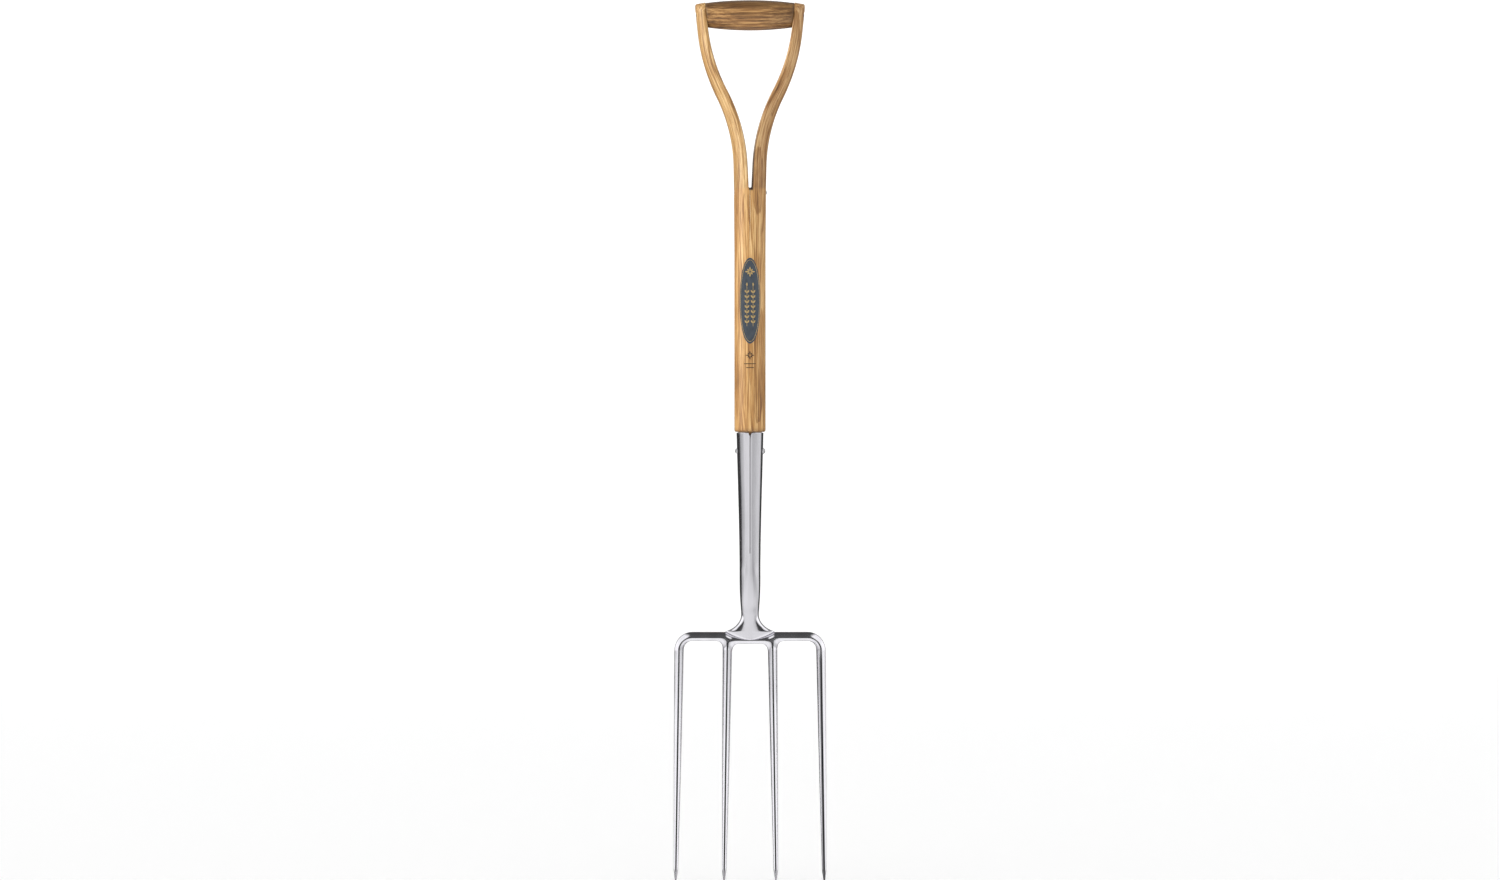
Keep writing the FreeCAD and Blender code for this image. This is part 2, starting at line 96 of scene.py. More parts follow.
# Steel head
LEAN_START_Z = 400.0  # the head leans forward on an arc below this
LEAN_R = 2200.0
BAR_Z = 286.6
BAR_ACROSS = 10.4  # the bar is square and stands on its corner
BAR_DEPTH_SHARE = 0.9  # front to back, as a share of the size across
BAR_CORNER_R = 1.7
FACET_BULGE = 0.035  # how far a facet's middle stands out, as a share of the size across
BAR_RIDGE_DROP = 2.3  # the crossbar's front and back corners lie this far below its middle
BAR_SAG = 3.2  # the crossbar is this much lower between the inner tines
BAR_SAG_FROM_X = 30.0
BAR_SAG_WHOLE_X = 20.0
BAR_BEND_R = 15.5
OUTER_TINE_X = 83.2
OUTER_TIP_X = 87.0
INNER_TINE_X = 26.4
INNER_TIP_X = 30.4
TINE_TOP_ACROSS = 11.0
TINE_END_ACROSS = 5.2
TINE_BELLY = 0.4  # a tine tapers a little less near its root than near its end
POINT_LENGTH = 14.0
POINT_ACROSS = 1.5
TIP_Z = 0.16  # a leaning point's back edge comes down to the ground when it is cut off here
ROOT_FILLET = 10.0
FLARE_TOP_Z = 312.5
FLARE_R = 28.0
FLARE_DROP = 21.2
FAN_EDGE_Z = 292.2
FAN_TOE_DROP = 9.8
RAY_REACH = (0.2, 34.0)  # the cage's points are found along rays, between these distances
RAY_STEPS = 120
RAY_HALVINGS = 24
SETTLE_PASSES = 8
SLIVER = 0.02  # edges of the finished head that are shorter than this are taken out
BORE_WALL = 2.0
BORE_END_Z = 360.0
SEAM_END_Z = 384.0
SEAM_HALF_WIDTH = 0.35
SEAM_NOTCH_HALF_WIDTH = 2.2
SEAM_NOTCH_Z = 522.0
NECK = (  # height, half width, half depth, and power of the superellipse, where 2 is an ellipse
    (270.0, 10.3, 4.9, 3.4),
    (284.0, 10.3, 6.1, 3.4),
    (288.0, 10.3, 6.5, 3.1),
    (292.0, 10.3, 6.9, 2.7),
    (302.0, 10.3, 7.8, 2.6),
    (312.5, 10.3, 8.8, 2.8),
    (321.0, 10.9, 9.4, 2.7),
    (331.0, 11.6, 10.3, 2.6),
    (342.0, 12.1, 11.1, 2.5),
    (354.0, 12.3, 11.8, 2.3),
    (371.0, 12.3, 12.2, 2.1),
    (388.0, 12.5, 12.5, 2.0),
    (MOUTH_Z, MOUTH_R, MOUTH_R, 2.0),
)

# Ash handle
TAPER_END_Z = HANDLE_LOW[2]
TAPER_END_GAP = 0.4  # between the taper's end and the bore round it
TAPER_END_BEVEL = 1.5
PLAIN_SHAFT_Z = 540.0
SHOULDER_Z = MOUTH_Z + 0.8
SHOULDER_EDGE_R = 2.5
SWELL_Z = (738.0, 800.0)
SAW_LINE_END_Z = 744.0
CROTCH_Z = 813.6
CROTCH_V = 5.0  # the saw line spreads below the gap between the arms over this height
SAW_HALF_WIDTH = 0.02
SAW_EDGE_R = (0.45, 1.3)
KERF_HALF_WIDTH = 1.5
ARM_BEND_START_Z = 840.0
ARM_BEND_MIDDLE_Z = 924.0
ARM_BEND_END_Z = 1001.0
ARM_LEAN = tuple(math.radians(a) for a in (2.0, 27.0, 6.0))
ARM_MIDDLE_THICK = 14.7
ARM_TOP_THICK = 12.9
ARM_TOP_HALF_DEPTH = 13.5
ARM_CAP_RISE = 0.5
ARM_CAP_SHAVE = 2.2  # the rounded top of an arm draws in this much on its outside
ARM_CAP_TILT = math.radians(10.0)  # the arms' tops slope outward
ARM_FOOT_EDGE_R = 0.5
ARM_EDGE_R = 3.4

# Grip and label
GRIP_BARREL_R = 390.0
GRIP_END_BEVEL = 0.7
LABEL_Z = (LABEL_LOW[2] + LABEL_HIGH[2]) / 2
LABEL_HALF_HEIGHT = (LABEL_HIGH[2] - LABEL_LOW[2]) / 2
LABEL_HALF_WIDTH = SHAFT_R * math.asin(LABEL_HIGH[0] / SHAFT_R)  # along the round of the shaft
LABEL_TOP_R = SHAFT_R + 0.15


# ---- small helpers for shapes ----

def lerp(a, b, share):
    return a + (b - a) * share


def clamp01(value):
    return np.clip(value, 0.0, 1.0)


def quarter_turns(count):
    """Equal steps of a quarter turn, up to and with the whole of it."""
    return [math.pi / 2 * k / count for k in range(1, count + 1)]


def smooth_curve(at, knots, values):
    """A smooth curve through the knots, read at the given places."""
    knots, values = np.asarray(knots, float), np.asarray(values, float)
    slopes = np.gradient(values, knots)
    at = np.clip(at, knots[0], knots[-1])
    i = np.clip(np.searchsorted(knots, at) - 1, 0, len(knots) - 2)
    width = knots[i + 1] - knots[i]
    t = (at - knots[i]) / width
    ahead = t * t * (3 - 2 * t)
    start_pull = t * (1 - t) ** 2 * width * slopes[i]
    end_pull = t * t * (t - 1) * width * slopes[i + 1]
    return lerp(values[i], values[i + 1], ahead) + start_pull + end_pull


def smooth_min(a, b, blend):
    near = np.clip(blend - np.abs(a - b), 0, None) / blend
    return np.minimum(a, b) - near * near * blend / 4


def new_object(name, data):
    obj = bpy.data.objects.new(name, data)
    bpy.context.scene.collection.objects.link(obj)
    return obj


def new_mesh(name, points, faces):
    data = bpy.data.meshes.new(name)
    data.from_pydata(points, [], faces)
    return data


def mesh_piece(name, points, faces):
    """A mesh object of points in millimetres about the shaft's axis, put in its place in the frame."""
    placed = (np.asarray(points, float) + (0, AXIS_Y, 0)) * MM
    data = new_mesh(name, placed.tolist(), faces)
    turn_outward(data)
    return new_object(name, data)


def tube(rings):
    """Faces between rings of points that follow each other."""
    faces = []
    for low, high in zip(rings, rings[1:]):
        for i in range(len(low)):
            j = (i + 1) % len(low)
            faces.append((low[i], low[j], high[j], high[i]))
    return faces


def closed_tube(rings):
    return [tuple(rings[0])] + tube(rings) + [tuple(rings[-1])]


def turn_outward(data):
    mesh = bmesh.new()
    mesh.from_mesh(data)
    bmesh.ops.recalc_face_normals(mesh, faces=mesh.faces)
    mesh.to_mesh(data)
    mesh.free()


def shade(obj, sharp_degrees=50.0):
    obj.data.shade_smooth()
    obj.data.set_sharp_from_angle(angle=math.radians(sharp_degrees))


def points_of(data):
    points = np.empty(len(data.vertices) * 3)
    data.vertices.foreach_get("co", points)
    return points.reshape(-1, 3)


def store_vectors(obj, name, vectors):
    attribute = obj.data.attributes.new(name, "FLOAT_VECTOR", "POINT")
    attribute.data.foreach_set("vector", np.asarray(vectors, np.float32).ravel())


def finish_piece(obj, material, slot, *nodes):
    """Gives a piece its material, and lets it stand for its CAD nodes."""
    obj.data.materials.clear()
    obj.data.materials.append(material)
    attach(obj, "root")
    if nodes:
        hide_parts(*nodes)
    return obj


# ---- the steel head: a coarse cage, subdivided, then settled onto an exact surface ----

def head_lean(points):
    """Bends the head from straight to its forward lean."""
    x, y, z = points.T
    tilt = np.arcsin(np.clip(LEAN_START_Z - z, 0, None) / LEAN_R)
    back = y * np.cos(tilt) - LEAN_R * (1 - np.cos(tilt))
    return np.stack([x, back, z - y * np.sin(tilt)], axis=1)


def tine_across(z):
    """Size across the bar's corners at height z."""
    top_z = BAR_Z - BAR_BEND_R
    share = clamp01((top_z - z) / (top_z - POINT_LENGTH))
    shank = lerp(TINE_TOP_ACROSS, TINE_END_ACROSS, share) + TINE_BELLY * np.sin(math.pi * share)
    bar = lerp(TINE_TOP_ACROSS, BAR_ACROSS, clamp01((z - top_z) / (BAR_BEND_R / 2)))
    point = lerp(POINT_ACROSS, TINE_END_ACROSS, z / POINT_LENGTH)
    return np.maximum(np.minimum(np.minimum(shank, bar), point), 0.2)


def bar_sag(x):
    """How far the crossbar has dropped at a distance x from the middle."""
    share = clamp01((BAR_SAG_FROM_X - np.abs(x)) / (BAR_SAG_FROM_X - BAR_SAG_WHOLE_X))
    return BAR_SAG * share * share * (3 - 2 * share)


def tine_line(root_x, tip_x, z):
    return lerp(root_x, tip_x, 1 - z / BAR_Z)


def bar_and_tines(points):
    """Distance outside the crossbar and tines, as one network of bar standing on its corner."""
    x, y, z = np.abs(points[:, 0]), np.abs(points[:, 1]), points[:, 2]
    side = x - tine_line(OUTER_TINE_X, OUTER_TIP_X, z) + BAR_BEND_R
    top = z + bar_sag(x) - BAR_Z + BAR_BEND_R
    corner = np.hypot(np.maximum(side, 0), np.maximum(top, 0))
    outward = corner + np.minimum(np.maximum(side, top), 0) - BAR_BEND_R
    across = tine_across(z)
    facing_up = np.maximum(top, 0) / np.maximum(corner, 1e-6)
    outward = outward + BAR_RIDGE_DROP * facing_up * y / (across / 2)
    outline = np.abs(outward)
    inner = np.abs(x - tine_line(INNER_TINE_X, INNER_TIP_X, z))
    joined = np.where(outward < 0, smooth_min(outline, inner, ROOT_FILLET), outline)
    offset = np.maximum(joined, 0)
    corner_r = np.minimum(BAR_CORNER_R, 0.34 * across)
    flat = (across / 2 - corner_r) / math.sqrt(2)
    deep = y / BAR_DEPTH_SHARE
    u = (offset + deep) / math.sqrt(2) - flat
    v = np.abs(offset - deep) / math.sqrt(2) - flat
    rounded = np.hypot(np.maximum(u, 0), np.maximum(v, 0)) + np.minimum(np.maximum(u, v), 0)
    bulge = FACET_BULGE * across * (1 - clamp01(np.abs(offset - deep) / (across / 2)) ** 2)
    return np.maximum(rounded - corner_r - bulge, TIP_Z - z)


def neck_size(z):
    """Half width, half depth and squareness of the socket, neck and fan at height z."""
    heights, half_widths, half_depths, powers = np.array(NECK).T
    half_width = smooth_curve(z, heights, half_widths)
    turn = clamp01((FLARE_TOP_Z - z) / FLARE_DROP)
    flare = half_widths[0] + FLARE_R * (1 - np.sqrt(1 - turn * turn))
    half_width = np.where(z < FLARE_TOP_Z, flare, half_width)
    edge_turn = (FLARE_TOP_Z - FAN_EDGE_Z) / FLARE_DROP
    edge = half_widths[0] + FLARE_R * (1 - math.sqrt(1 - edge_turn**2))
    toe = clamp01((FAN_EDGE_Z - z) / FAN_TOE_DROP)
    half_width = np.where(z < FAN_EDGE_Z, edge * np.sqrt(1 - toe), half_width)
    half_depth = smooth_curve(z, heights, half_depths)
    return np.maximum(half_width, 0.5), half_depth, smooth_curve(z, heights, powers)


def socket_and_fan(points):
    """Distance outside the socket, neck and fan."""
    x, y, z = np.abs(points[:, 0]), np.abs(points[:, 1]), points[:, 2]
    half_width, half_depth, power = neck_size(z)
    reach = (x / half_width) ** power + (y / half_depth) ** power
    out = (np.maximum(reach, 1e-9) ** (1 / power) - 1) * np.minimum(half_width, half_depth)
    return np.maximum(out, FAN_EDGE_Z - FAN_TOE_DROP - z)


def cast(origins, directions, surface):
    """Where rays from inside a surface leave it."""
    directions = directions / np.linalg.norm(directions, axis=1, keepdims=True)
    inside = np.zeros(len(origins))
    steps = np.linspace(*RAY_REACH, RAY_STEPS)
    out = np.full(len(origins), steps[-1])
    found = np.zeros(len(origins), bool)
    for step in steps:
        outside = surface(origins + directions * step) > 0
        out = np.where(outside & ~found, step, out)
        found |= outside
        inside = np.where(found, inside, step)
    for _ in range(RAY_HALVINGS):
        middle = (inside + out) / 2
        outside = surface(origins + directions * middle[:, None]) > 0
        out = np.where(outside, middle, out)
        inside = np.where(outside, inside, middle)
    return origins + directions * out[:, None]


def settle(points, surface):
    """Moves points that are near a surface onto it."""
    points = points.copy()
    small = 0.02
    for _ in range(SETTLE_PASSES):
        out = surface(points)
        rise = [surface(points + shift) - surface(points - shift) for shift in small * np.eye(3)]
        slope = np.stack(rise, axis=1) / (2 * small)
        steepness = np.maximum((slope**2).sum(axis=1), 0.1)
        points -= (np.clip(out, -1, 1) / steepness)[:, None] * slope
    return points


CORNER = 0.16  # how far the two cage points by each corner stand from it
# Ring of cage points round a bar: (outward in the fork's plane, towards the back)
BAR_RING = (
    (-CORNER, -1), (-1, -1), (-1, -CORNER), (-1, CORNER), (-1, 1), (-CORNER, 1),
    (CORNER, 1), (1, 1), (1, CORNER), (1, -CORNER), (1, -1), (CORNER, -1),
)
TINE_RING = BAR_RING[:1] + BAR_RING[:0:-1]  # the same ring, the other way round
BAR_STATIONS = (2.3, 7.0, 12.0, 17.8, 23.6, 29.2, 35.0, 41.0, 49.0, 59.0, OUTER_TINE_X - BAR_BEND_R)
ROOT_STATIONS = (17.8, 23.6, 29.2, 35.0)  # an inner tine's root opens the bar's underside between these
FRONT_COLUMNS = 6  # of the neck's columns on each side, those that are listed before the others
NECK_ANGLES = (13.8, 27.6, 41.4, 55.2, 69.0, 83.0, 97.0, 111.0, 124.8, 138.6, 152.4, 166.2)
FAN_ROWS = (282.7, 283.4, 285.0, 287.4, 290.2, FAN_EDGE_Z)
NECK_ROWS = (294.6, 296.6, 299.6, 304.0, 309.0, 316.0, 325.0, 336.0, 349.0, 362.0, 374.0)
SOCKET_ROWS = (SEAM_END_Z, 390.0, 405.0, 430.0, 460.0, 490.0, 510.0, SEAM_NOTCH_Z, 525.0, MOUTH_Z)
BORE_END_ROWS = ((372.0, 0.98), (BORE_END_Z, 0.95))  # height, and width as a share of the seam's end
TINE_ROW_STEP = 8.0
POINT_ROWS = (9.0, 4.5, 1.6, 0.3)


def tine_rows(start_z):
    """Heights of the cage's rings down a tine."""
    count = round((start_z - POINT_LENGTH) / TINE_ROW_STEP)
    return list(np.linspace(start_z, POINT_LENGTH, count + 1)) + list(POINT_ROWS)


class Cage:
    """Points and faces of a coarse cage round a surface, with the edges that stay sharp."""

    def __init__(self, surface):
        self.surface = surface
        self.points = []
        self.faces = []
        self.inner_faces = set()
        self.creased = set()

    def add(self, points):
        first = len(self.points)
        self.points += [tuple(p) for p in points]
        return list(range(first, len(self.points)))

    def cast_ring(self, origin, directions):
        origins = np.tile(np.asarray(origin, float), (len(directions), 1))
        return self.add(cast(origins, np.asarray(directions, float), self.surface))

    def face(self, *corners, inner=False):
        if inner:
            self.inner_faces.add(len(self.faces))
        self.faces.append(corners)

    def band(self, low, high, skip=(), inner=False):
        """Faces between two rings; skip holds the places where there is none."""
        for i, corners in enumerate(tube([low, high])):
            if i not in skip:
                self.face(*corners, inner=inner)

    def crease(self, *ring):
        for a, b in zip(ring, ring[1:]):
            self.creased.add(frozenset((a, b)))


def outer_stations():
    """The path from the middle of the crossbar to the right-hand point: x, z, and outward x and z."""
    stations = [(x, BAR_Z - float(bar_sag(x)), 0.0, 1.0) for x in BAR_STATIONS]
    for turn in quarter_turns(6)[:-1]:
        x = OUTER_TINE_X - BAR_BEND_R + BAR_BEND_R * math.sin(turn)
        z = BAR_Z - BAR_BEND_R + BAR_BEND_R * math.cos(turn)
        stations.append((x, z, math.sin(turn), math.cos(turn)))
    for z in tine_rows(BAR_Z - BAR_BEND_R):
        stations.append((tine_line(OUTER_TINE_X, OUTER_TIP_X, z), z, 1.0, 0.0))
    return stations


def cage_bar(cage):
    """The crossbar and outer tines. Returns the rings of the bar by x."""
    right = outer_stations()
    path = [(-x, z, -nx, nz) for x, z, nx, nz in reversed(right)] + right
    rings, by_x = [], {}
    for x, z, nx, nz in path:
        slant = BAR_RIDGE_DROP * nz / (BAR_ACROSS / 2)
        around = [(n - slant * abs(y), y) for n, y in BAR_RING]
        ring = cage.cast_ring((x, 0, z), [(n * nx, y, n * nz) for n, y in around])
        rings.append(ring)
        by_x.setdefault(round(x, 3), ring)
    for k in range(len(path) - 1):
        middle = abs(path[k][0] + path[k + 1][0]) / 2
        on_bar = path[k][3] == path[k + 1][3] == 1.0
        over_root = on_bar and ROOT_STATIONS[0] < middle < ROOT_STATIONS[-1]
        cage.band(rings[k], rings[k + 1], skip=(1, 2, 3) if over_root else ())
    cage.face(*reversed(rings[0]))
    cage.face(*rings[-1])
    return by_x


def cage_inner_tine(cage, by_x, side):
    """An inner tine, hung from the opening in the bar's underside."""
    a, b, c, d = (by_x[round(side * x, 3)] for x in ROOT_STATIONS[::side])
    ring = [b[1], c[1], d[1], d[2], d[3], d[4], c[4], b[4], a[4], a[3], a[2], a[1]]
    for z in [275.5, 270.0] + tine_rows(262.0):
        x = side * tine_line(INNER_TINE_X, INNER_TIP_X, z)
        below = cage.cast_ring((x, 0, z), [(u, y, 0) for u, y in TINE_RING])
        cage.band(below, ring)
        ring = below
    cage.face(*ring)


def neck_directions(z):
    """Where the neck's columns lie round the section at height z, from the front left."""
    half_width, half_depth, _ = (float(v) for v in neck_size(np.float64(z)))
    spread = clamp01((z - FAN_EDGE_Z) / (SEAM_END_Z - FAN_EDGE_Z))
    seam_x = lerp(BAR_STATIONS[0], SEAM_HALF_WIDTH, math.sqrt(spread))
    notch = clamp01((z - SEAM_NOTCH_Z) / (MOUTH_Z - SEAM_NOTCH_Z))
    seam_x = lerp(seam_x, SEAM_NOTCH_HALF_WIDTH, notch)
    back_x = lerp(BAR_STATIONS[0], half_width * 0.12, spread)
    angles = [math.asin(seam_x / half_width)] + [math.radians(a) for a in NECK_ANGLES]
    angles.append(math.pi - math.asin(back_x / half_width))
    front = angles[:FRONT_COLUMNS]
    loop = [-a for a in reversed(front)] + angles + [-a for a in reversed(angles[FRONT_COLUMNS:])]
    return [(half_width * math.sin(a), -half_depth * math.cos(a), 0) for a in loop]


def cage_socket(cage):
    """The fan, the neck, the socket, its bore and the open seam."""
    seam = FRONT_COLUMNS - 1
    ring = None
    for z in FAN_ROWS + NECK_ROWS:
        above = cage.cast_ring((0, 0, z), neck_directions(z))
        if ring is None:
            cage.face(*reversed(above))
        else:
            cage.band(ring, above)
        ring = above
    outer, inner = [], []
    for z in SOCKET_ROWS:
        outer.append(cage.cast_ring((0, 0, z), neck_directions(z)))
        shell = np.array(cage.points)[outer[-1]]
        shell[:, :2] *= 1 - BORE_WALL / np.linalg.norm(shell[:, :2], axis=1, keepdims=True)
        shell[seam : seam + 2, 0] = shell[seam : seam + 2, 0] / (1 - BORE_WALL / MOUTH_R)
        inner.append(cage.add(shell))
    cage.band(ring, outer[0])
    for below, above in zip(outer, outer[1:]):
        cage.band(below, above, skip={seam})
    for below, above in zip(inner, inner[1:]):
        cage.band(above, below, skip={seam}, inner=True)
    for k in (seam, seam + 1):
        outside, inside = ([row[k] for row in rows] for rows in (outer, inner))
        for corners in tube([outside, inside])[:-1]:
            cage.face(*corners, inner=True)
        cage.crease(*outside)
        cage.crease(*inside)
    cage.face(outer[0][seam], outer[0][seam + 1], inner[0][seam + 1], inner[0][seam], inner=True)
    cage.crease(outer[0][seam], outer[0][seam + 1])
    cage.band(outer[-1], inner[-1], skip={seam}, inner=True)
    for rim in (outer[-1], inner[-1]):
        cage.crease(*(rim[seam + 1 :] + rim[: seam + 1]))
    ring = inner[0]
    for z, keep in BORE_END_ROWS:
        below = cage.add(np.array(cage.points)[inner[0]] * (keep, keep, 0) + (0, 0, z))
        cage.band(below, ring, inner=True)
        ring = below
    cage.face(*ring, inner=True)


def refined(cage):
    """A cage subdivided and settled on its surface: its points in millimetres and its faces."""
    data = new_mesh("cage", cage.points, cage.faces)
    for index in cage.inner_faces:
        data.polygons[index].material_index = 1
    crease = data.attributes.new("crease_edge", "FLOAT", "EDGE")
    for edge in data.edges:
        crease.data[edge.index].value = 0.9 if frozenset(edge.vertices) in cage.creased else 0.0
    rough = new_object("cage", data)
    rough.modifiers.new("smooth", "SUBSURF").levels = 2
    graph = bpy.context.evaluated_depsgraph_get()
    fine = bpy.data.meshes.new_from_object(rough.evaluated_get(graph))
    bpy.data.objects.remove(rough)

    points = points_of(fine)
    outer_skin = np.ones(len(points), bool)
    for polygon in fine.polygons:
        if polygon.material_index == 1:
            outer_skin[list(polygon.vertices)] = False
    points[outer_skin] = settle(points[outer_skin], cage.surface)
    faces = [tuple(p.vertices) for p in fine.polygons]
    bpy.data.meshes.remove(fine)
    return points, faces


def fork_head():
    """The crossbar with its tines, and the socket with its fan, made one."""
    tines = Cage(bar_and_tines)
    by_x = cage_bar(tines)
    for side in (-1, 1):
        cage_inner_tine(tines, by_x, side)
    socket = Cage(socket_and_fan)
    cage_socket(socket)
    head = mesh_piece("fork_head_forging", *refined(tines))
    upper = mesh_piece("head_upper", *refined(socket))
    combine(head, upper, "UNION")
    clear_slivers(head.data)
    straight = points_of(head.data) / MM - (0, AXIS_Y, 0)
    leaned = (head_lean(straight) + (0, AXIS_Y, 0)) * MM
    head.data.vertices.foreach_set("co", leaned.ravel())
    shade(head, 40.0)
    store_vectors(head, "straight", straight)
    return head


def combine(obj, other, operation):
    """Joins another object to a mesh or cuts it away, and removes the other."""
    step = obj.modifiers.new("combine", "BOOLEAN")
    step.operation, step.solver, step.object = operation, "MANIFOLD", other
    graph = bpy.context.evaluated_depsgraph_get()
    result = bpy.data.meshes.new_from_object(obj.evaluated_get(graph))
    obj.modifiers.clear()
    obj.data = result
    bpy.data.objects.remove(other)


def clear_slivers(data):
    """Triangulates a mesh and takes out the slivers that a union leaves along its seam."""
    mesh = bmesh.new()
    mesh.from_mesh(data)
    bmesh.ops.triangulate(mesh, faces=mesh.faces)
    bmesh.ops.dissolve_degenerate(mesh, edges=mesh.edges, dist=SLIVER * MM)
    mesh.to_mesh(data)
    mesh.free()


# ---- the ash handle ----

def arm_path(z):
    """The middle of an arm at height z: its x, its lean, and how far along its curve it is."""
    low, steep, high = ARM_LEAN
    length = min(z, ARM_BEND_START_Z)
    x = (KERF_HALF_WIDTH + CROTCH_R) / 2 + (length - CROTCH_Z) * math.tan(low)
    if z <= ARM_BEND_START_Z:
        return x, low, length
    for z0, z1, a0, a1 in (
        (ARM_BEND_START_Z, ARM_BEND_MIDDLE_Z, low, steep),
        (ARM_BEND_MIDDLE_Z, ARM_BEND_END_Z, steep, high),
    ):
        per_z = (math.sin(a1) - math.sin(a0)) / (z1 - z0)
        lean = math.asin(math.sin(a0) + (min(z, z1) - z0) * per_z)
        x += (math.cos(a0) - math.cos(lean)) / per_z
        length += (lean - a0) / per_z
        if z <= z1:
            return x, lean, length
    rise = z - ARM_BEND_END_Z
    return x + rise * math.tan(high), high, length + rise / math.cos(high)


OUTER_COLUMNS = 20
CORNER_COLUMNS = 3
FLAT_COLUMNS = 5


def half_round(thick, half_depth, edge, inset):
    """Right half of the handle's section, from the front round the outside to the back and home
    across the flat: points (out from the flat, towards the back)."""
    semi = thick + inset
    start = math.asin(min(1.0, (edge + inset) / semi))
    turns = np.linspace(start, math.pi - start, OUTER_COLUMNS)
    outside = [(semi * math.sin(t) - inset, -half_depth * math.cos(t)) for t in turns]
    high = half_depth * math.cos(start) + edge * math.tan(start) * half_depth / semi
    flat_end = high - edge
    corner = []
    for k in range(CORNER_COLUMNS):
        t = k / CORNER_COLUMNS
        weights = ((1 - t) ** 2, 2 * t * (1 - t), t * t)
        corner.append(tuple(np.dot(weights, ((0, -flat_end), (0, -high), outside[0]))))
    flat = [(0.0, y) for y in np.linspace(flat_end, -flat_end, FLAT_COLUMNS + 2)[1:-1]]
    mirrored = [(x, -y) for x, y in reversed(corner)]
    return corner + outside + mirrored + flat


def arm_section(z, fall=1.0, shave=0.0):
    """The right half's section at height z. fall shrinks its depth and shave its outside, for the top."""
    if z < CROTCH_Z:
        radius = shaft_radius(z)
        spread = max(0.0, (z - CROTCH_Z + CROTCH_V) / CROTCH_V)
        return half_round(radius - SAW_HALF_WIDTH, radius, lerp(*SAW_EDGE_R, spread), SAW_HALF_WIDTH)
    bends_z = (CROTCH_Z, ARM_BEND_MIDDLE_Z, ARM_BEND_END_Z)
    thick = np.interp(z, bends_z, (CROTCH_R - KERF_HALF_WIDTH, ARM_MIDDLE_THICK, ARM_TOP_THICK))
    half_depth = np.interp(z, bends_z[::2], (CROTCH_R, ARM_TOP_HALF_DEPTH))
    edge = np.interp(z, (CROTCH_Z, ARM_BEND_START_Z), (ARM_FOOT_EDGE_R, ARM_EDGE_R))
    section = half_round(thick - shave, half_depth, edge, KERF_HALF_WIDTH)
    return [(out - thick / 2, y * fall) for out, y in section]


def shaft_radius(z):
    return np.interp(z, SWELL_Z, (SHAFT_R, CROTCH_R))


def arm_row(z, fall=1.0, shave=0.0):
    """A row of the right arm: its points, and the same points with the arm straightened out."""
    section = arm_section(z, fall, shave)
    if z < CROTCH_Z:
        points = [(SAW_HALF_WIDTH + out, y, z) for out, y in section]
        return points, points
    x, lean, length = arm_path(z)
    middle = arm_path(CROTCH_Z)[0]
    tilt = np.interp(z, (GRIP_Z, GRIP_Z + ARM_TOP_HALF_DEPTH), (lean, ARM_CAP_TILT))
    points = [(x + u * math.cos(lean), y, z - u * math.tan(tilt)) for u, y in section]
    return points, [(middle + u, y, length) for u, y in section]


def split_rows():
    """Rows of the right half from the end of the saw line to the rounded top of the arm."""
    cap_z = GRIP_Z + ARM_CAP_RISE
    heights = (
        np.linspace(SAW_LINE_END_Z, CROTCH_Z - CROTCH_V, 22),
        np.linspace(CROTCH_Z - CROTCH_V, CROTCH_Z - 0.1, 9)[1:],
        np.linspace(CROTCH_Z + 0.5, ARM_BEND_START_Z, 10),
        np.linspace(ARM_BEND_START_Z, cap_z, 72)[1:],
    )
    rows = [arm_row(z) for z in np.concatenate(heights)]
    for turn in quarter_turns(12)[:-1]:
        z = cap_z + ARM_TOP_HALF_DEPTH * math.sin(turn)
        rows.append(arm_row(z, math.cos(turn), ARM_CAP_SHAVE * (1 - math.cos(turn)) ** 2))
    return rows


def round_rows():
    """Half rows below the saw line, as (radius, height): the taper, the shoulder and the plain shaft."""
    bore_r = MOUTH_R - BORE_WALL
    end_r = float(smooth_curve(TAPER_END_Z, *np.array(NECK).T[:2])) - BORE_WALL - TAPER_END_GAP
    rows = [(end_r - TAPER_END_BEVEL, TAPER_END_Z), (end_r, TAPER_END_Z + TAPER_END_BEVEL)]
    rows += [(bore_r, SHOULDER_Z), (SHAFT_R - SHOULDER_EDGE_R, SHOULDER_Z)]
    for turn in quarter_turns(6):
        inward = SHOULDER_EDGE_R * (1 - math.sin(turn))
        rows.append((SHAFT_R - inward, SHOULDER_Z + SHOULDER_EDGE_R * (1 - math.cos(turn))))
    rows += [(shaft_radius(z), z) for z in np.linspace(PLAIN_SHAFT_Z, SAW_LINE_END_Z - 0.4, 36)]
    return rows


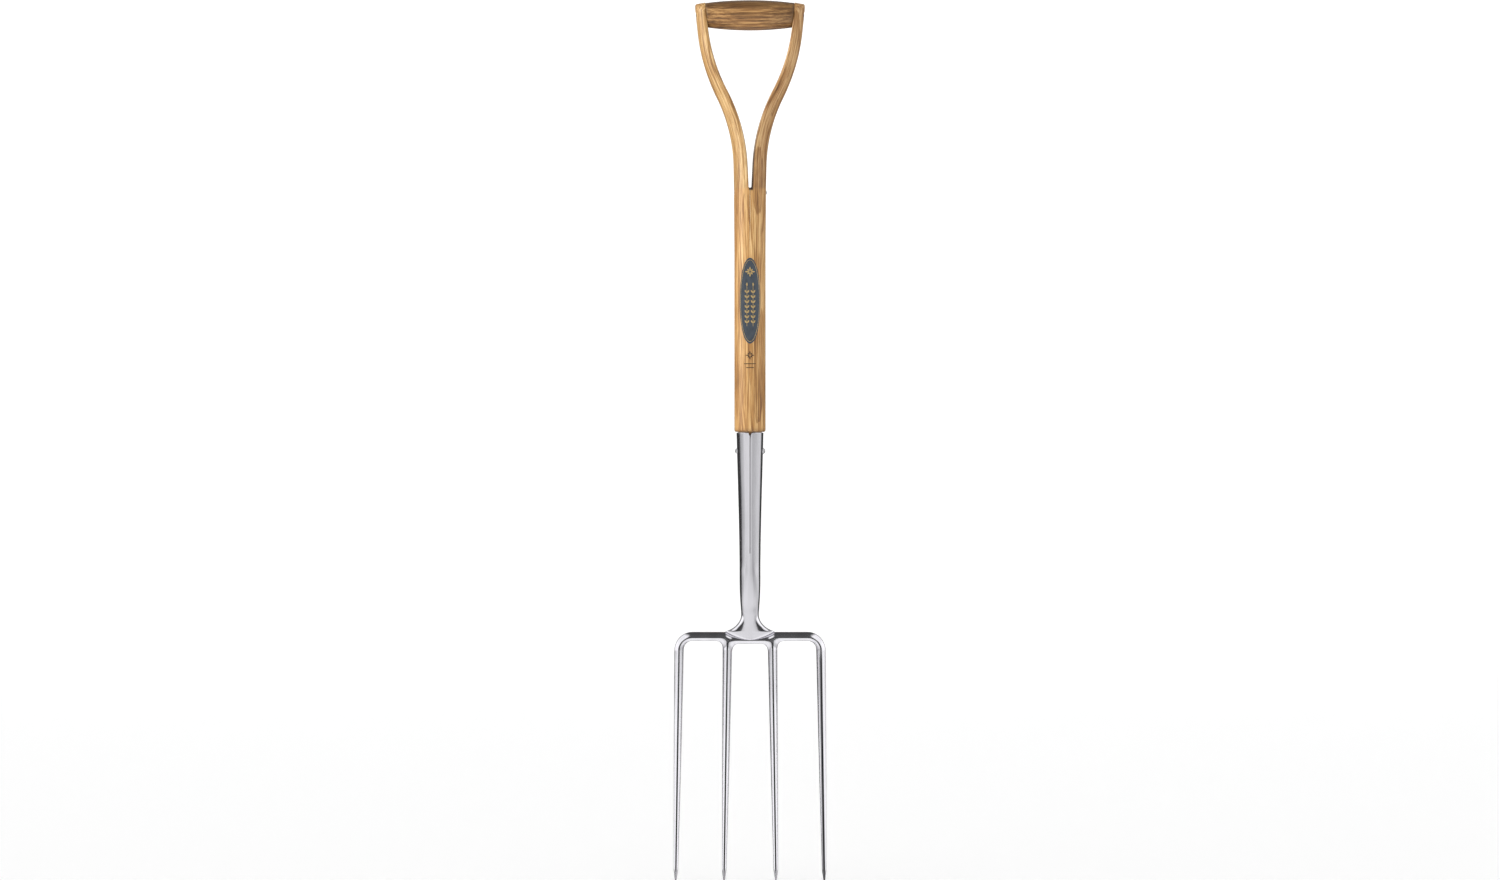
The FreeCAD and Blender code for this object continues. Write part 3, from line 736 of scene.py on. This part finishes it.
def handle():
    """Rings up the shaft that part into two tubes where the saw line starts."""
    points, straight = [], []

    def add(row, grain):
        """Adds a right-hand row and its mirror; returns the indices of both."""
        first = len(points)
        for side in (1, -1):
            points.extend((side * x, y, z) for x, y, z in row)
            straight.extend((side * x, y, z) for x, y, z in grain)
        return list(range(first, first + len(row))), list(range(first + len(row), len(points)))

    split = split_rows()
    section = np.array(split[0][0])
    around = section[: OUTER_COLUMNS + 2 * CORNER_COLUMNS]
    around = around[:, :2] / np.linalg.norm(around[:, :2], axis=1, keepdims=True)
    rings = []
    for radius, z in round_rows():
        row = [(x * radius, y * radius, z) for x, y in around]
        right, left = add(row, row)
        rings.append(right + left[::-1])
    right_rows, left_rows = zip(*[add(*row) for row in split])
    count = len(around)
    rings.append(right_rows[0][:count] + left_rows[0][:count][::-1])
    faces = [tuple(rings[0])] + tube(rings)
    floor = [rows[0][count - 1 :] + rows[0][:1] for rows in (right_rows, left_rows)]
    faces += tube(floor)[:-1]
    for rows in (right_rows, left_rows):
        faces += tube(rows) + [tuple(rows[-1])]

    obj = mesh_piece("handle_shaft_ash", points, faces)
    whole = points_of(obj.data)
    sink_seats(obj)
    shade(obj)
    store_vectors(obj, "grain", carried(points_of(obj.data), whole, straight))
    return obj


def sink_seats(obj):
    """Cuts the seats that the burrs lie in."""
    for node in ("grip_burr_left", "grip_burr_right", "yoke_burr"):
        low, high = box_mm(node)
        side = math.copysign(1, low[0])
        floor_x = min(abs(low[0]), abs(high[0]))
        radius, reach = (high[2] - low[2]) / 2 + 0.03, 8.0
        drum = bmesh.new()
        bmesh.ops.create_cone(drum, cap_ends=True, segments=64, radius1=radius * MM, radius2=radius * MM,
                              depth=reach * MM)
        place = Vector((side * (floor_x + reach / 2), AXIS_Y, (low[2] + high[2]) / 2)) * MM
        drum.transform(Matrix.Translation(place) @ Matrix.Rotation(math.pi / 2, 4, "Y"))
        data = bpy.data.meshes.new("seat_cutter")
        drum.to_mesh(data)
        drum.free()
        combine(obj, new_object("seat_cutter", data), "DIFFERENCE")


def carried(points, whole, straight):
    """The straightened places of a cut mesh's points, each found from the nearest point before cutting."""
    tree = KDTree(len(whole))
    for index, point in enumerate(whole):
        tree.insert(point, index)
    tree.balance()
    nearest = [tree.find(point)[1] for point in points]
    return np.asarray(straight)[nearest] + (points - whole[nearest]) / MM


def grip():
    """The barrel of the grip, with its ends cut to the slope of the arms and a fine bevel round each."""
    lean = arm_path(GRIP_Z)[1]
    end_x = arm_path(GRIP_Z)[0] - ARM_TOP_THICK / 2 / math.cos(lean)
    columns, rows = 64, 40
    inset = GRIP_END_BEVEL / end_x
    shares = [-1, -1 + inset / 2, -1 + inset, *np.linspace(-1, 1, rows + 1)[1:-1]]
    shares += [1 - inset, 1 - inset / 2, 1]
    points, rings = [], []
    for share in shares:
        x = share * end_x
        near_end = 1 - min(1.0, (1 - abs(share)) / inset)
        radius = GRIP_R - x * x / (2 * GRIP_BARREL_R) - GRIP_END_BEVEL * near_end**2
        rings.append(range(len(points), len(points) + columns))
        for turn in 2 * math.pi * np.arange(columns) / columns:
            rise = radius * math.cos(turn)
            points.append((x + share * rise * math.tan(lean), radius * math.sin(turn), GRIP_Z + rise))
    obj = mesh_piece("hand_grip_barrel", points, closed_tube(rings))
    shade(obj)
    return obj


# ---- the label: films and inks that wrap the front of the shaft ----

def wrap(across, up, radius):
    """A point of a flat drawing laid on the front of the shaft."""
    return (radius * math.sin(across / SHAFT_R), -radius * math.cos(across / SHAFT_R), up)


def film(strips, low_r, high_r):
    """Points and faces of closed films. A strip is a list of (left, right) pairs of (across, up) points."""
    points, faces = [], []
    for strip in strips:
        wide = max(math.dist(left, right) for left, right in strip) > 3
        parts = 8 if wide else 1
        rows = []
        for left, right in strip:
            row = []
            for radius in (low_r, high_r):
                first = len(points)
                for k in range(parts + 1):
                    points.append(wrap(*lerp(np.array(left), np.array(right), k / parts), radius))
                row.append(list(range(first, first + parts + 1)))
            rows.append(row[0] + row[1][::-1])
        faces += closed_tube(rows)
    return points, faces


def ellipse_strip(half_width, half_height, centre_up):
    """A filled ellipse, as pairs of points from bottom to top."""
    strip = []
    for turn in np.radians(np.linspace(-87, 87, 60)):
        width, up = half_width * math.cos(turn), centre_up + half_height * math.sin(turn)
        strip.append(((-width, up), (width, up)))
    return strip


def ribbon(line, half_widths):
    """A strip along a line of (across, up) points."""
    strip = []
    for i, (point, half) in enumerate(zip(line, half_widths)):
        before, after = line[max(i - 1, 0)], line[min(i + 1, len(line) - 1)]
        along = np.subtract(after, before)
        normal = np.array((-along[1], along[0])) / np.linalg.norm(along)
        strip.append((tuple(point - normal * half), tuple(point + normal * half)))
    return strip


def leaf(root, angle, length, half_width, curl=0.35, blunt=0.04, points=9):
    """A pointed leaf from its root, at an angle from straight up."""
    line, halves = [], []
    for share in np.linspace(0, 1, points):
        reach = length * share
        turn = angle * (1 - curl * share)
        line.append(np.add(root, (reach * math.sin(turn), reach * math.cos(turn))))
        halves.append(half_width * math.sin(math.pi * lerp(blunt, 1 - blunt, share)))
    return ribbon(line, halves)


def border_strips(half_width, half_height, half_line):
    """A thin oval line round the label, in quarters."""
    turns = np.radians(np.linspace(0, 360, 121))
    line = [np.array((half_width * math.sin(t), LABEL_Z + half_height * math.cos(t))) for t in turns]
    return [ribbon(line[k : k + 31], [half_line] * 31) for k in (0, 30, 60, 90)]


def sprig_strips(across, foot, height, pairs, leaf_length):
    """A straight stem with pairs of leaves and one at its tip."""
    stem = [np.array((across, foot + height * share)) for share in np.linspace(0, 1, 12)]
    strips = [ribbon(stem, [0.22] * len(stem))]
    for k in range(pairs):
        up = foot + height * (0.08 + 0.86 * k / pairs)
        for side in (-1, 1):
            strips.append(leaf((across, up), side * 0.95, leaf_length, leaf_length * 0.2))
    strips.append(leaf((across, foot + height * 0.98), 0.0, leaf_length, leaf_length * 0.22))
    return strips


def flower_strips(up, radius):
    petals = 8
    strips = []
    for k in range(petals):
        turn = 2 * math.pi * k / petals
        root = (0.9 * math.sin(turn), up + 0.9 * math.cos(turn))
        length = radius * (1.0 if k % 2 == 0 else 0.7)
        strips.append(leaf(root, turn, length, radius * 0.17, curl=0.0, blunt=0.05, points=7))
    return strips


def label_pieces():
    """The oval film, its gilt ornament, and a small ornament inked on the wood below it."""
    oval = mesh_piece("label_film", *film([ellipse_strip(LABEL_HALF_WIDTH, LABEL_HALF_HEIGHT, LABEL_Z)],
                                          SHAFT_R - 0.05, LABEL_TOP_R))
    gilt = border_strips(LABEL_HALF_WIDTH - 1.3, LABEL_HALF_HEIGHT - 2.6, 0.2)
    gilt += flower_strips(LABEL_Z + 34.0, 5.0)
    for across in (-3.6, 3.6):
        gilt += sprig_strips(across, LABEL_Z - 30.0, 48.0, 7, 4.2)
    ornament = mesh_piece("label_ornament", *film(gilt, LABEL_TOP_R - 0.02, LABEL_TOP_R + 0.04))
    ink = flower_strips(LABEL_Z - 64.0, 4.2)
    for up, half in ((LABEL_Z - 74.0, 7.0), (LABEL_Z - 78.5, 4.5)):
        line = [np.array((across, up)) for across in np.linspace(-half, half, 9)]
        ink.append(ribbon(line, [0.45] * len(line)))
    inked = mesh_piece("shaft_ornament", *film(ink, SHAFT_R - 0.05, SHAFT_R + 0.03))
    for piece in (oval, ornament, inked):
        shade(piece)
    return oval, ornament, inked


# ---- materials ----

STEEL = (0.80, 0.79, 0.83)
KEY_POWER = 60.0


class Value:
    """Something that a node works out at each point, with the usual arithmetic for numbers."""

    def __init__(self, look, socket):
        self.look = look
        self.socket = socket

    def __add__(self, other):
        return self.look.math("ADD", self, other)

    def __sub__(self, other):
        return self.look.math("SUBTRACT", self, other)

    def __mul__(self, other):
        return self.look.math("MULTIPLY", self, other)

    def __abs__(self):
        return self.look.math("ABSOLUTE", self)


class Look:
    """The nodes of a material or a world, and short ways to add to them."""

    def __init__(self, owner, **inputs):
        owner.use_nodes = True
        self.owner = owner
        self.tree = owner.node_tree
        self.surface = self.tree.nodes.get("Principled BSDF") or self.tree.nodes["Background"]
        self.set(self.surface, inputs)

    def set(self, node, inputs):
        for key, value in inputs.items():
            socket = node.inputs[key.replace("_", " ") if isinstance(key, str) else key]
            if isinstance(value, Value):
                self.tree.links.new(value.socket, socket)
            else:
                socket.default_value = (*value, 1) if socket.type == "RGBA" else value

    def add(self, kind, inputs=None, output=0, **settings):
        """Adds a node and gives one of its outputs."""
        node = self.tree.nodes.new("ShaderNode" + kind)
        for key, value in settings.items():
            setattr(node, key, value)
        self.set(node, inputs or {})
        return Value(self, node.outputs[output])

    def math(self, operation, *values):
        return self.add("Math", dict(enumerate(values)), operation=operation)

    def scaled(self, vector, *scale):
        return self.add("VectorMath", {0: vector, 1: scale}, operation="MULTIPLY")

    def split(self, vector):
        parts = self.add("SeparateXYZ", {0: vector}).socket.node
        return [Value(self, output) for output in parts.outputs]

    def noise(self, place, *scale, detail=3.0, roughness=0.5):
        inputs = {"Vector": self.scaled(place, *scale), "Scale": 1.0}
        return self.add("TexNoise", {**inputs, "Detail": detail, "Roughness": roughness})

    def by(self, value, *stops):
        """A colour or a grey that follows a value; a stop is (value, colour) or (value, grey)."""
        start, end = stops[0][0], stops[-1][0]
        ramp = self.add("ValToRGB", {"Fac": (value - start) * (1 / (end - start))})
        elements = ramp.socket.node.color_ramp.elements
        while len(elements) < len(stops):
            elements.new(1.0)
        for element, (place, colour) in zip(elements, stops):
            element.position = (place - start) / (end - start)
            element.color = (*colour, 1) if isinstance(colour, tuple) else (colour, colour, colour, 1)
        return ramp

    def mix(self, share, a, b, blend="MIX"):
        return self.add("Mix", {0: share, 6: a, 7: b}, output=2, data_type="RGBA", blend_type=blend)

    def bump(self, height, strength, distance, **normal):
        return self.add("Bump", {"Height": height, "Strength": strength, "Distance": distance, **normal})

    def finish(self, **inputs):
        self.set(self.surface, inputs)
        return self.owner


def material(name, **inputs):
    return Look(bpy.data.materials.new(name), **inputs)


def tone(red, green, blue, share=1.0):
    """A colour given as it looks on a screen, 0 to 255, in the linear values that materials use."""
    return tuple(share * (value / 255) ** 2.2 for value in (red, green, blue))


def object_place(look):
    return look.scaled(look.add("TexCoord", output="Object"), 1000, 1000, 1000)


def grain_place(look):
    return look.add("Attribute", output="Vector", attribute_name="grain")


def straight_place(look):
    return look.add("Attribute", output="Vector", attribute_name="straight")


def grip_place(look):
    """The grip's wood runs along X."""
    x, y, z = look.split(object_place(look))
    return look.add("CombineXYZ", {0: z, 1: y, 2: x})


def wood(name, find_place, tones, pith, ring_width, tints_and_painted_shade):
    """Stained ash under satin lacquer, with the grain along the third axis of a place in millimetres.
    tones are the light, middle and dark wood, and the last argument changes the colour by place, with tints
    and with painted shade and light."""
    light, middle, dark = tones
    look = material(name)
    place = find_place(look)
    x, y, z = look.split(place)
    wander = (look.noise(place, 0.035, 0.035, 0.006) - 0.5) * 22.0
    across = x - pith[0] + z * 0.012
    deep = y - pith[1]
    from_pith = look.math("SQRT", across * across + deep * deep) + wander
    phase = look.math("FRACT", from_pith * (1 / ring_width))
    early = look.by(phase, (0.0, 0.3), (0.05, 1.0), (0.3, 0.7), (0.55, 0.12), (1.0, 0.0))
    streaks = look.noise(place, 0.8, 0.8, 0.010, detail=5.0, roughness=0.65)
    fibres = look.noise(place, 1.7, 1.7, 0.03, roughness=0.6)
    clouds = look.noise(place, 0.05, 0.05, 0.010, detail=2.0)
    pores = look.by(look.noise(place, 3.0, 3.0, 0.11, detail=2.0), (0.54, 0.0), (0.66, 1.0))
    pores = pores * (early * 0.75 + 0.25)
    depth = early * 0.24 + (streaks - 0.5) * 1.7 + (fibres - 0.5) * 1.2 + (clouds - 0.5) * 0.8 + 0.38
    colour = look.by(depth, (0.1, light), (0.48, middle), (0.9, dark))
    colour = look.mix(pores * 0.5, colour, tuple(c * 0.45 for c in dark))
    return look.finish(
        Base_Color=tints_and_painted_shade(look, colour, x, z),
        Roughness=look.by(streaks, (0.3, 0.40), (0.7, 0.55)),
        Normal=look.bump(fibres * 0.5 - pores, 0.3, 0.0002),
        Specular_IOR_Level=0.35,
        Coat_Weight=0.4,
        Coat_Roughness=0.32,
    )


def handle_tints_and_painted_shade(look, colour, x, z):
    """Painted shade in the saw line, in the crotch and up the right arm's sawn face, darker wood at the
    shoulder by the socket, painted shade in the socket, and duller wood on the arms from their steaming, with
    painted light on the left arm and painted shade on the right."""
    # Above the crotch the arms are duller from steaming, with painted light on the left arm and painted shade
    # on the right.
    steam_and_side_light_share = look.by(z, (CROTCH_Z - 2, 0.0), (CROTCH_Z + 1, 1.0))
    halves = look.by(x, (-6, (0.95, 1.02, 1.12)), (6, (0.78, 0.75, 0.78)))
    colour = look.mix(steam_and_side_light_share, colour, halves, blend="MULTIPLY")
    # Painted shade along the saw line between the two halves.
    saw_line_shade = look.by(abs(x), (0.3, 0.6), (0.75, 0.0))
    above_line_end = look.by(z, (SAW_LINE_END_Z, 0.0), (SAW_LINE_END_Z + 30, 1.0))
    colour = look.mix(saw_line_shade * above_line_end, colour, tone(62, 36, 20))

    # Painted shade in the crotch and up the right arm's sawn inner face.
    thinning = (CROTCH_R - KERF_HALF_WIDTH - ARM_MIDDLE_THICK) / 2 / (ARM_BEND_MIDDLE_Z - CROTCH_Z)
    off_face = x - ((z - CROTCH_Z) * thinning + KERF_HALF_WIDTH)
    sawn_face_shade = look.by(off_face, (1.7, 0.96), (2.3, 0.0))
    right_arm = look.math("GREATER_THAN", x, 0.2 - KERF_HALF_WIDTH)
    above_crotch = look.by(
        z,
        (CROTCH_Z - 3.5, 0.0), (CROTCH_Z - 2.0, 1.0), (CROTCH_Z + 40, 0.85), (CROTCH_Z + 95, 0.0),
    )
    colour = look.mix(sawn_face_shade * right_arm * above_crotch, colour, tone(44, 24, 15))

    by_shoulder = look.by(z, (SHOULDER_Z, 0.55), (SHOULDER_Z + 5, 0.0))
    colour = look.mix(by_shoulder, colour, tone(96, 66, 40))
    # Painted shade on the wood inside the socket.
    socket_shade = look.by(z, (MOUTH_Z - 3, 0.93), (MOUTH_Z, 0.0))
    return look.mix(socket_shade, colour, tone(42, 38, 38))


def grip_painted_shade(look, colour, x, z):
    """Painted shade along the top and by the arms. Here z runs along the grip and x is the height."""
    end = GRIP_HIGH[0]
    # Painted shadow at the grip's ends, by the arms.
    end_shade = look.by(
        z,
        (-0.9 * end, 0.6), (-0.8 * end, 0.1), (-0.6 * end, 0.0), (0.2 * end, 0.0), (0.56 * end, 0.4),
        (0.8 * end, 0.5), (0.9 * end, 0.8),
    )
    # Painted shade along the top of the grip, where less light falls.
    top_shade = look.by(x, (GRIP_Z + 0.24 * GRIP_R, 0.0), (GRIP_Z + 0.6 * GRIP_R, 0.62), (GRIP_Z + GRIP_R, 0.85))
    return look.mix(look.math("MAXIMUM", end_shade, top_shade), colour, tone(70, 48, 26))


def steel(name, find_place, colour, roughness, grain=(1.0, 1.0, 0.02), painted_reflection=None):
    """Polished stainless with fine grinding lines and a little unevenness left from forging.
    The last argument may paint a reflection into the colour by place."""
    look = material(name, Metallic=1.0)
    place = find_place(look)
    lines = look.noise(place, *(9.0 * g for g in grain), roughness=0.65)
    smears = look.noise(place, 0.11, 0.11, 0.02)
    waves = look.noise(place, 0.06, 0.06, 0.015, detail=1.0)
    specks = look.noise(place, 1.3, 1.3, 0.7, detail=2.0)
    tint = look.by(smears, (0.3, tuple(c * 0.93 for c in colour)), (0.65, colour))
    if painted_reflection is not None:
        tint = painted_reflection(look, tint, place)
    rough = lines * 0.08 + (smears - 0.5) * 0.08 + (specks - 0.5) * 0.04 + (roughness - 0.04)
    broad = look.bump(waves, 0.4, 0.0009)
    return look.finish(Base_Color=tint, Roughness=rough, Normal=look.bump(lines, 0.25, 0.00004, Normal=broad))


def right_tine_painted_reflection(look, tint, place):
    """A painted dark reflection along the ridge of the right-hand tine's front, which makes it darker than
    the other three.
    """
    x, y, z = look.split(place)
    slope = (OUTER_TIP_X - OUTER_TINE_X) / BAR_Z
    ridge_x = z * -slope + (OUTER_TIP_X - 0.4)
    by_ridge = look.by(abs(x - ridge_x), (1.3, 0.72), (2.2, 0.0))
    in_front = look.math("LESS_THAN", y, 0.0)
    bend_z = BAR_Z - BAR_BEND_R
    below_bend = look.by(z, (bend_z - 12, 1.0), (bend_z, 0.0))
    return look.mix(by_ridge * in_front * below_bend, tint, (0.05, 0.05, 0.055))


def label_material():
    look = material("label_film", IOR=1.45)
    place = object_place(look)
    mottle = look.noise(place, 0.35, 0.35, 0.2, detail=4.0)
    colour = look.by(mottle, (0.3, (0.045, 0.058, 0.075)), (0.7, (0.07, 0.085, 0.105)))
    normal = look.bump(look.noise(place, 2.0, 2.0, 2.0), 0.15, 0.00005)
    return look.finish(Base_Color=colour, Roughness=look.by(mottle, (0.3, 0.32), (0.7, 0.42)), Normal=normal)


def gilt_material():
    look = material("gilt_ink", Metallic=0.55)
    wear = look.noise(object_place(look), 1.2, 1.2, 1.2, detail=4.0)
    colour = look.by(wear, (0.3, (0.42, 0.27, 0.09)), (0.6, (0.78, 0.56, 0.24)))
    return look.finish(Base_Color=colour, Roughness=look.by(wear, (0.3, 0.5), (0.7, 0.34)))


def ink_material():
    look = material("brown_ink")
    wear = look.noise(object_place(look), 2.2, 2.2, 0.3)
    colour = look.by(wear, (0.35, (0.02, 0.013, 0.01)), (0.75, (0.10, 0.055, 0.03)))
    return look.finish(Base_Color=colour, Roughness=0.5)


# ---- the studio ----

def studio():
    """A plain pale floor that sweeps up behind, and soft light that the polished steel can mirror."""
    scene = bpy.context.scene
    scene.view_settings.view_transform = "Standard"
    scene.view_settings.look = "None"
    floor_stage()
    studio_world()
    camera()


def floor_stage():
    half, front, bend_y, bend_r, top_z = 14.0, -14.0, 9.0, 3.0, 12.0
    profile = [(front, 0.0), (bend_y, 0.0)]
    for turn in quarter_turns(9):
        profile.append((bend_y + bend_r * math.sin(turn), bend_r * (1 - math.cos(turn))))
    profile.append((bend_y + bend_r, top_z))
    points = [(x, y, z) for y, z in profile for x in (-half, half)]
    faces = [(2 * k, 2 * k + 1, 2 * k + 3, 2 * k + 2) for k in range(len(profile) - 1)]
    floor = new_object("studio_floor", new_mesh("studio_floor", points, faces))
    floor.data.shade_smooth()
    paint = material("studio_floor", Base_Color=(0.97, 0.97, 0.97), Roughness=0.8, Specular_IOR_Level=0.1,
                     Emission_Color=(1, 1, 1), Emission_Strength=0.16)
    floor.data.materials.append(paint.owner)
    floor.visible_glossy = False


def studio_world():
    """Light by direction: azimuth from the camera's side, negative to the left, then height. The soft
    light on the wood and floor comes mostly from the left; the steel mirrors screens and dark gaps."""
    look = Look(bpy.data.worlds.new("studio"))
    x, y, height = look.split(look.add("TexCoord", output="Generated"))
    azimuth = look.math("ARCTAN2", x, y * -1.0) * math.degrees(1)
    mirrored = look.add("LightPath", output="Is Glossy Ray")
    light = look.mix(mirrored, soft_light(look, azimuth, height), screens(look, azimuth, height))
    bpy.context.scene.world = look.finish(Color=light)


def up(degrees):
    """The height of a direction at an elevation, from -1 straight down to 1 straight up."""
    return math.sin(math.radians(degrees))


def soft_light(look, azimuth, height):
    around = look.by(
        azimuth, (-180, 1.1), (-115, 1.3), (-60, 1.5), (-5, 1.3), (55, 0.95), (120, 0.9), (180, 1.1)
    )
    fading = look.by(height, (up(40), 1.0), (up(70), 0.25))
    return look.mix(1.0, around, fading, blend="MULTIPLY")


def screens(look, azimuth, height):
    """What the polished steel sees, as the brightness it then shows."""

    def seen(level):
        return tone(level, level, level, 1 / STEEL[1])

    def ring(*stops):
        """Screens all round, as (azimuth, brightness)."""
        return look.by(azimuth, *[(degrees, seen(level)) for degrees, level in stops])

    def even_ring(*stops):
        """Screens that are the same on both sides, given from the back to the front."""
        left = [(-degrees, level) for degrees, level in stops]
        return ring(*left, *reversed(stops))

    level_ring = ring(
        (-180, 150), (-146, 52), (-99, 48), (-92, 150), (-62, 178), (-54, 206), (-10, 218), (8, 196),
        (17, 198), (23, 166), (60, 178), (66, 192), (108, 205), (118, 55), (150, 60), (180, 150),
    )
    lower_ring = ring(
        (-180, 150), (-146, 52), (-110, 48), (-103, 190), (-60, 226), (0, 216), (40, 212), (96, 190),
        (104, 60), (150, 60), (180, 150),
    )
    higher_ring = even_ring((180, 150), (150, 80), (120, 90), (106, 250), (54, 254), (38, 56))
    steep_ring = even_ring((180, 150), (112, 110), (98, 240), (34, 245), (20, 76))
    floor_ring = even_ring((180, 120), (118, 105), (100, 238))

    is_raised = look.by(height, (up(0.5), 0.0), (up(2.5), 1.0))
    is_lowered = look.by(height, (up(-6.5), 1.0), (up(-4.0), 0.0))
    is_steep = look.by(height, (up(26), 0.0), (up(38), 1.0))
    is_overhead = look.by(height, (up(61), 0.0), (up(68), 1.0))
    is_floor = look.by(height, (up(-32), 1.0), (up(-16), 0.0))
    is_straight_down = look.by(height, (up(-62), 1.0), (up(-46), 0.0))
    below = look.mix(is_lowered, level_ring, lower_ring)
    above = look.mix(is_steep, higher_ring, steep_ring)
    light = look.mix(is_overhead, look.mix(is_raised, below, above), seen(70))
    return look.mix(is_floor, light, look.mix(is_straight_down, floor_ring, seen(238)))


def key_light(pieces):
    """A soft box to the left of the camera that lights only the handle."""
    data = bpy.data.lights.new("key", "AREA")
    data.shape, data.size, data.size_y = "RECTANGLE", 0.9, 2.4
    data.energy = KEY_POWER
    data.color = (1.0, 0.97, 0.92)
    box = new_object("key", data)
    turn, rise, away = math.radians(-66), math.radians(14), 3.2
    aim = Vector((0, 0, 1.0))
    towards = Vector((math.sin(turn) * math.cos(rise), -math.cos(turn) * math.cos(rise), math.sin(rise)))
    box.location = aim + towards * away
    box.rotation_euler = towards.to_track_quat("Z", "Y").to_euler()
    lit = bpy.data.collections.new("lit_by_key")
    for piece in pieces:
        lit.objects.link(piece)
    box.light_linking.receiver_collection = lit


def camera():
    """Level and far off, as high as the fork's middle, with the fork filling the frame's height."""
    low, high = (np.array(corner) for corner in CAD_BOX)
    frame_width_px, frame_height_px = 1500, 880
    margin = 1.0005
    lens, sensor = 135.0, 36.0
    width = (high[2] - low[2]) * margin * frame_width_px / frame_height_px
    distance = width * lens / sensor
    data = bpy.data.cameras.new("camera")
    data.lens, data.sensor_width = lens, sensor
    obj = new_object("camera", data)
    obj.location = (0, AXIS_Y * MM - distance, (low[2] + high[2]) / 2)
    obj.rotation_euler = (math.pi / 2, 0, 0)
    bpy.context.scene.camera = obj


# ---- the whole fork ----

def dress():
    shaft_tones = (tone(230, 191, 132), tone(182, 133, 75), tone(104, 64, 29))
    grip_tones = (tone(206, 159, 99), tone(140, 98, 54), tone(62, 40, 20))
    ash = wood("stained_ash", grain_place, shaft_tones, (-38.0, 52.0), 3.6, handle_tints_and_painted_shade)
    dark_ash = wood("dark_ash", grip_place, grip_tones, (GRIP_Z - 60.0, 40.0), 4.2, grip_painted_shade)
    forging = steel("polished_stainless", straight_place, STEEL, 0.13, painted_reflection=right_tine_painted_reflection)
    rivets = steel("rivet_steel", object_place, (0.60, 0.60, 0.61), 0.30, grain=(1.0, 1.0, 1.0))

    finish_piece(fork_head(), forging, "polished_steel", "fork_head")
    shaft = finish_piece(handle(), ash, "ash", "handle_shaft")
    barrel = finish_piece(grip(), dark_ash, "dark_ash", "hand_grip")
    key_light([shaft, barrel])
    oval, ornament, inked = label_pieces()
    finish_piece(oval, label_material(), "label_film", "shaft_label")
    finish_piece(ornament, gilt_material(), "label_film")
    finish_piece(inked, ink_material(), "label_film")
    for name in ("grip_rod", "grip_burr_left", "grip_burr_right", "yoke_rivet", "yoke_burr", "socket_rivet"):
        node = frame["nodes"][name]
        node.data.materials.clear()
        node.data.materials.append(rivets)


dress()
studio()
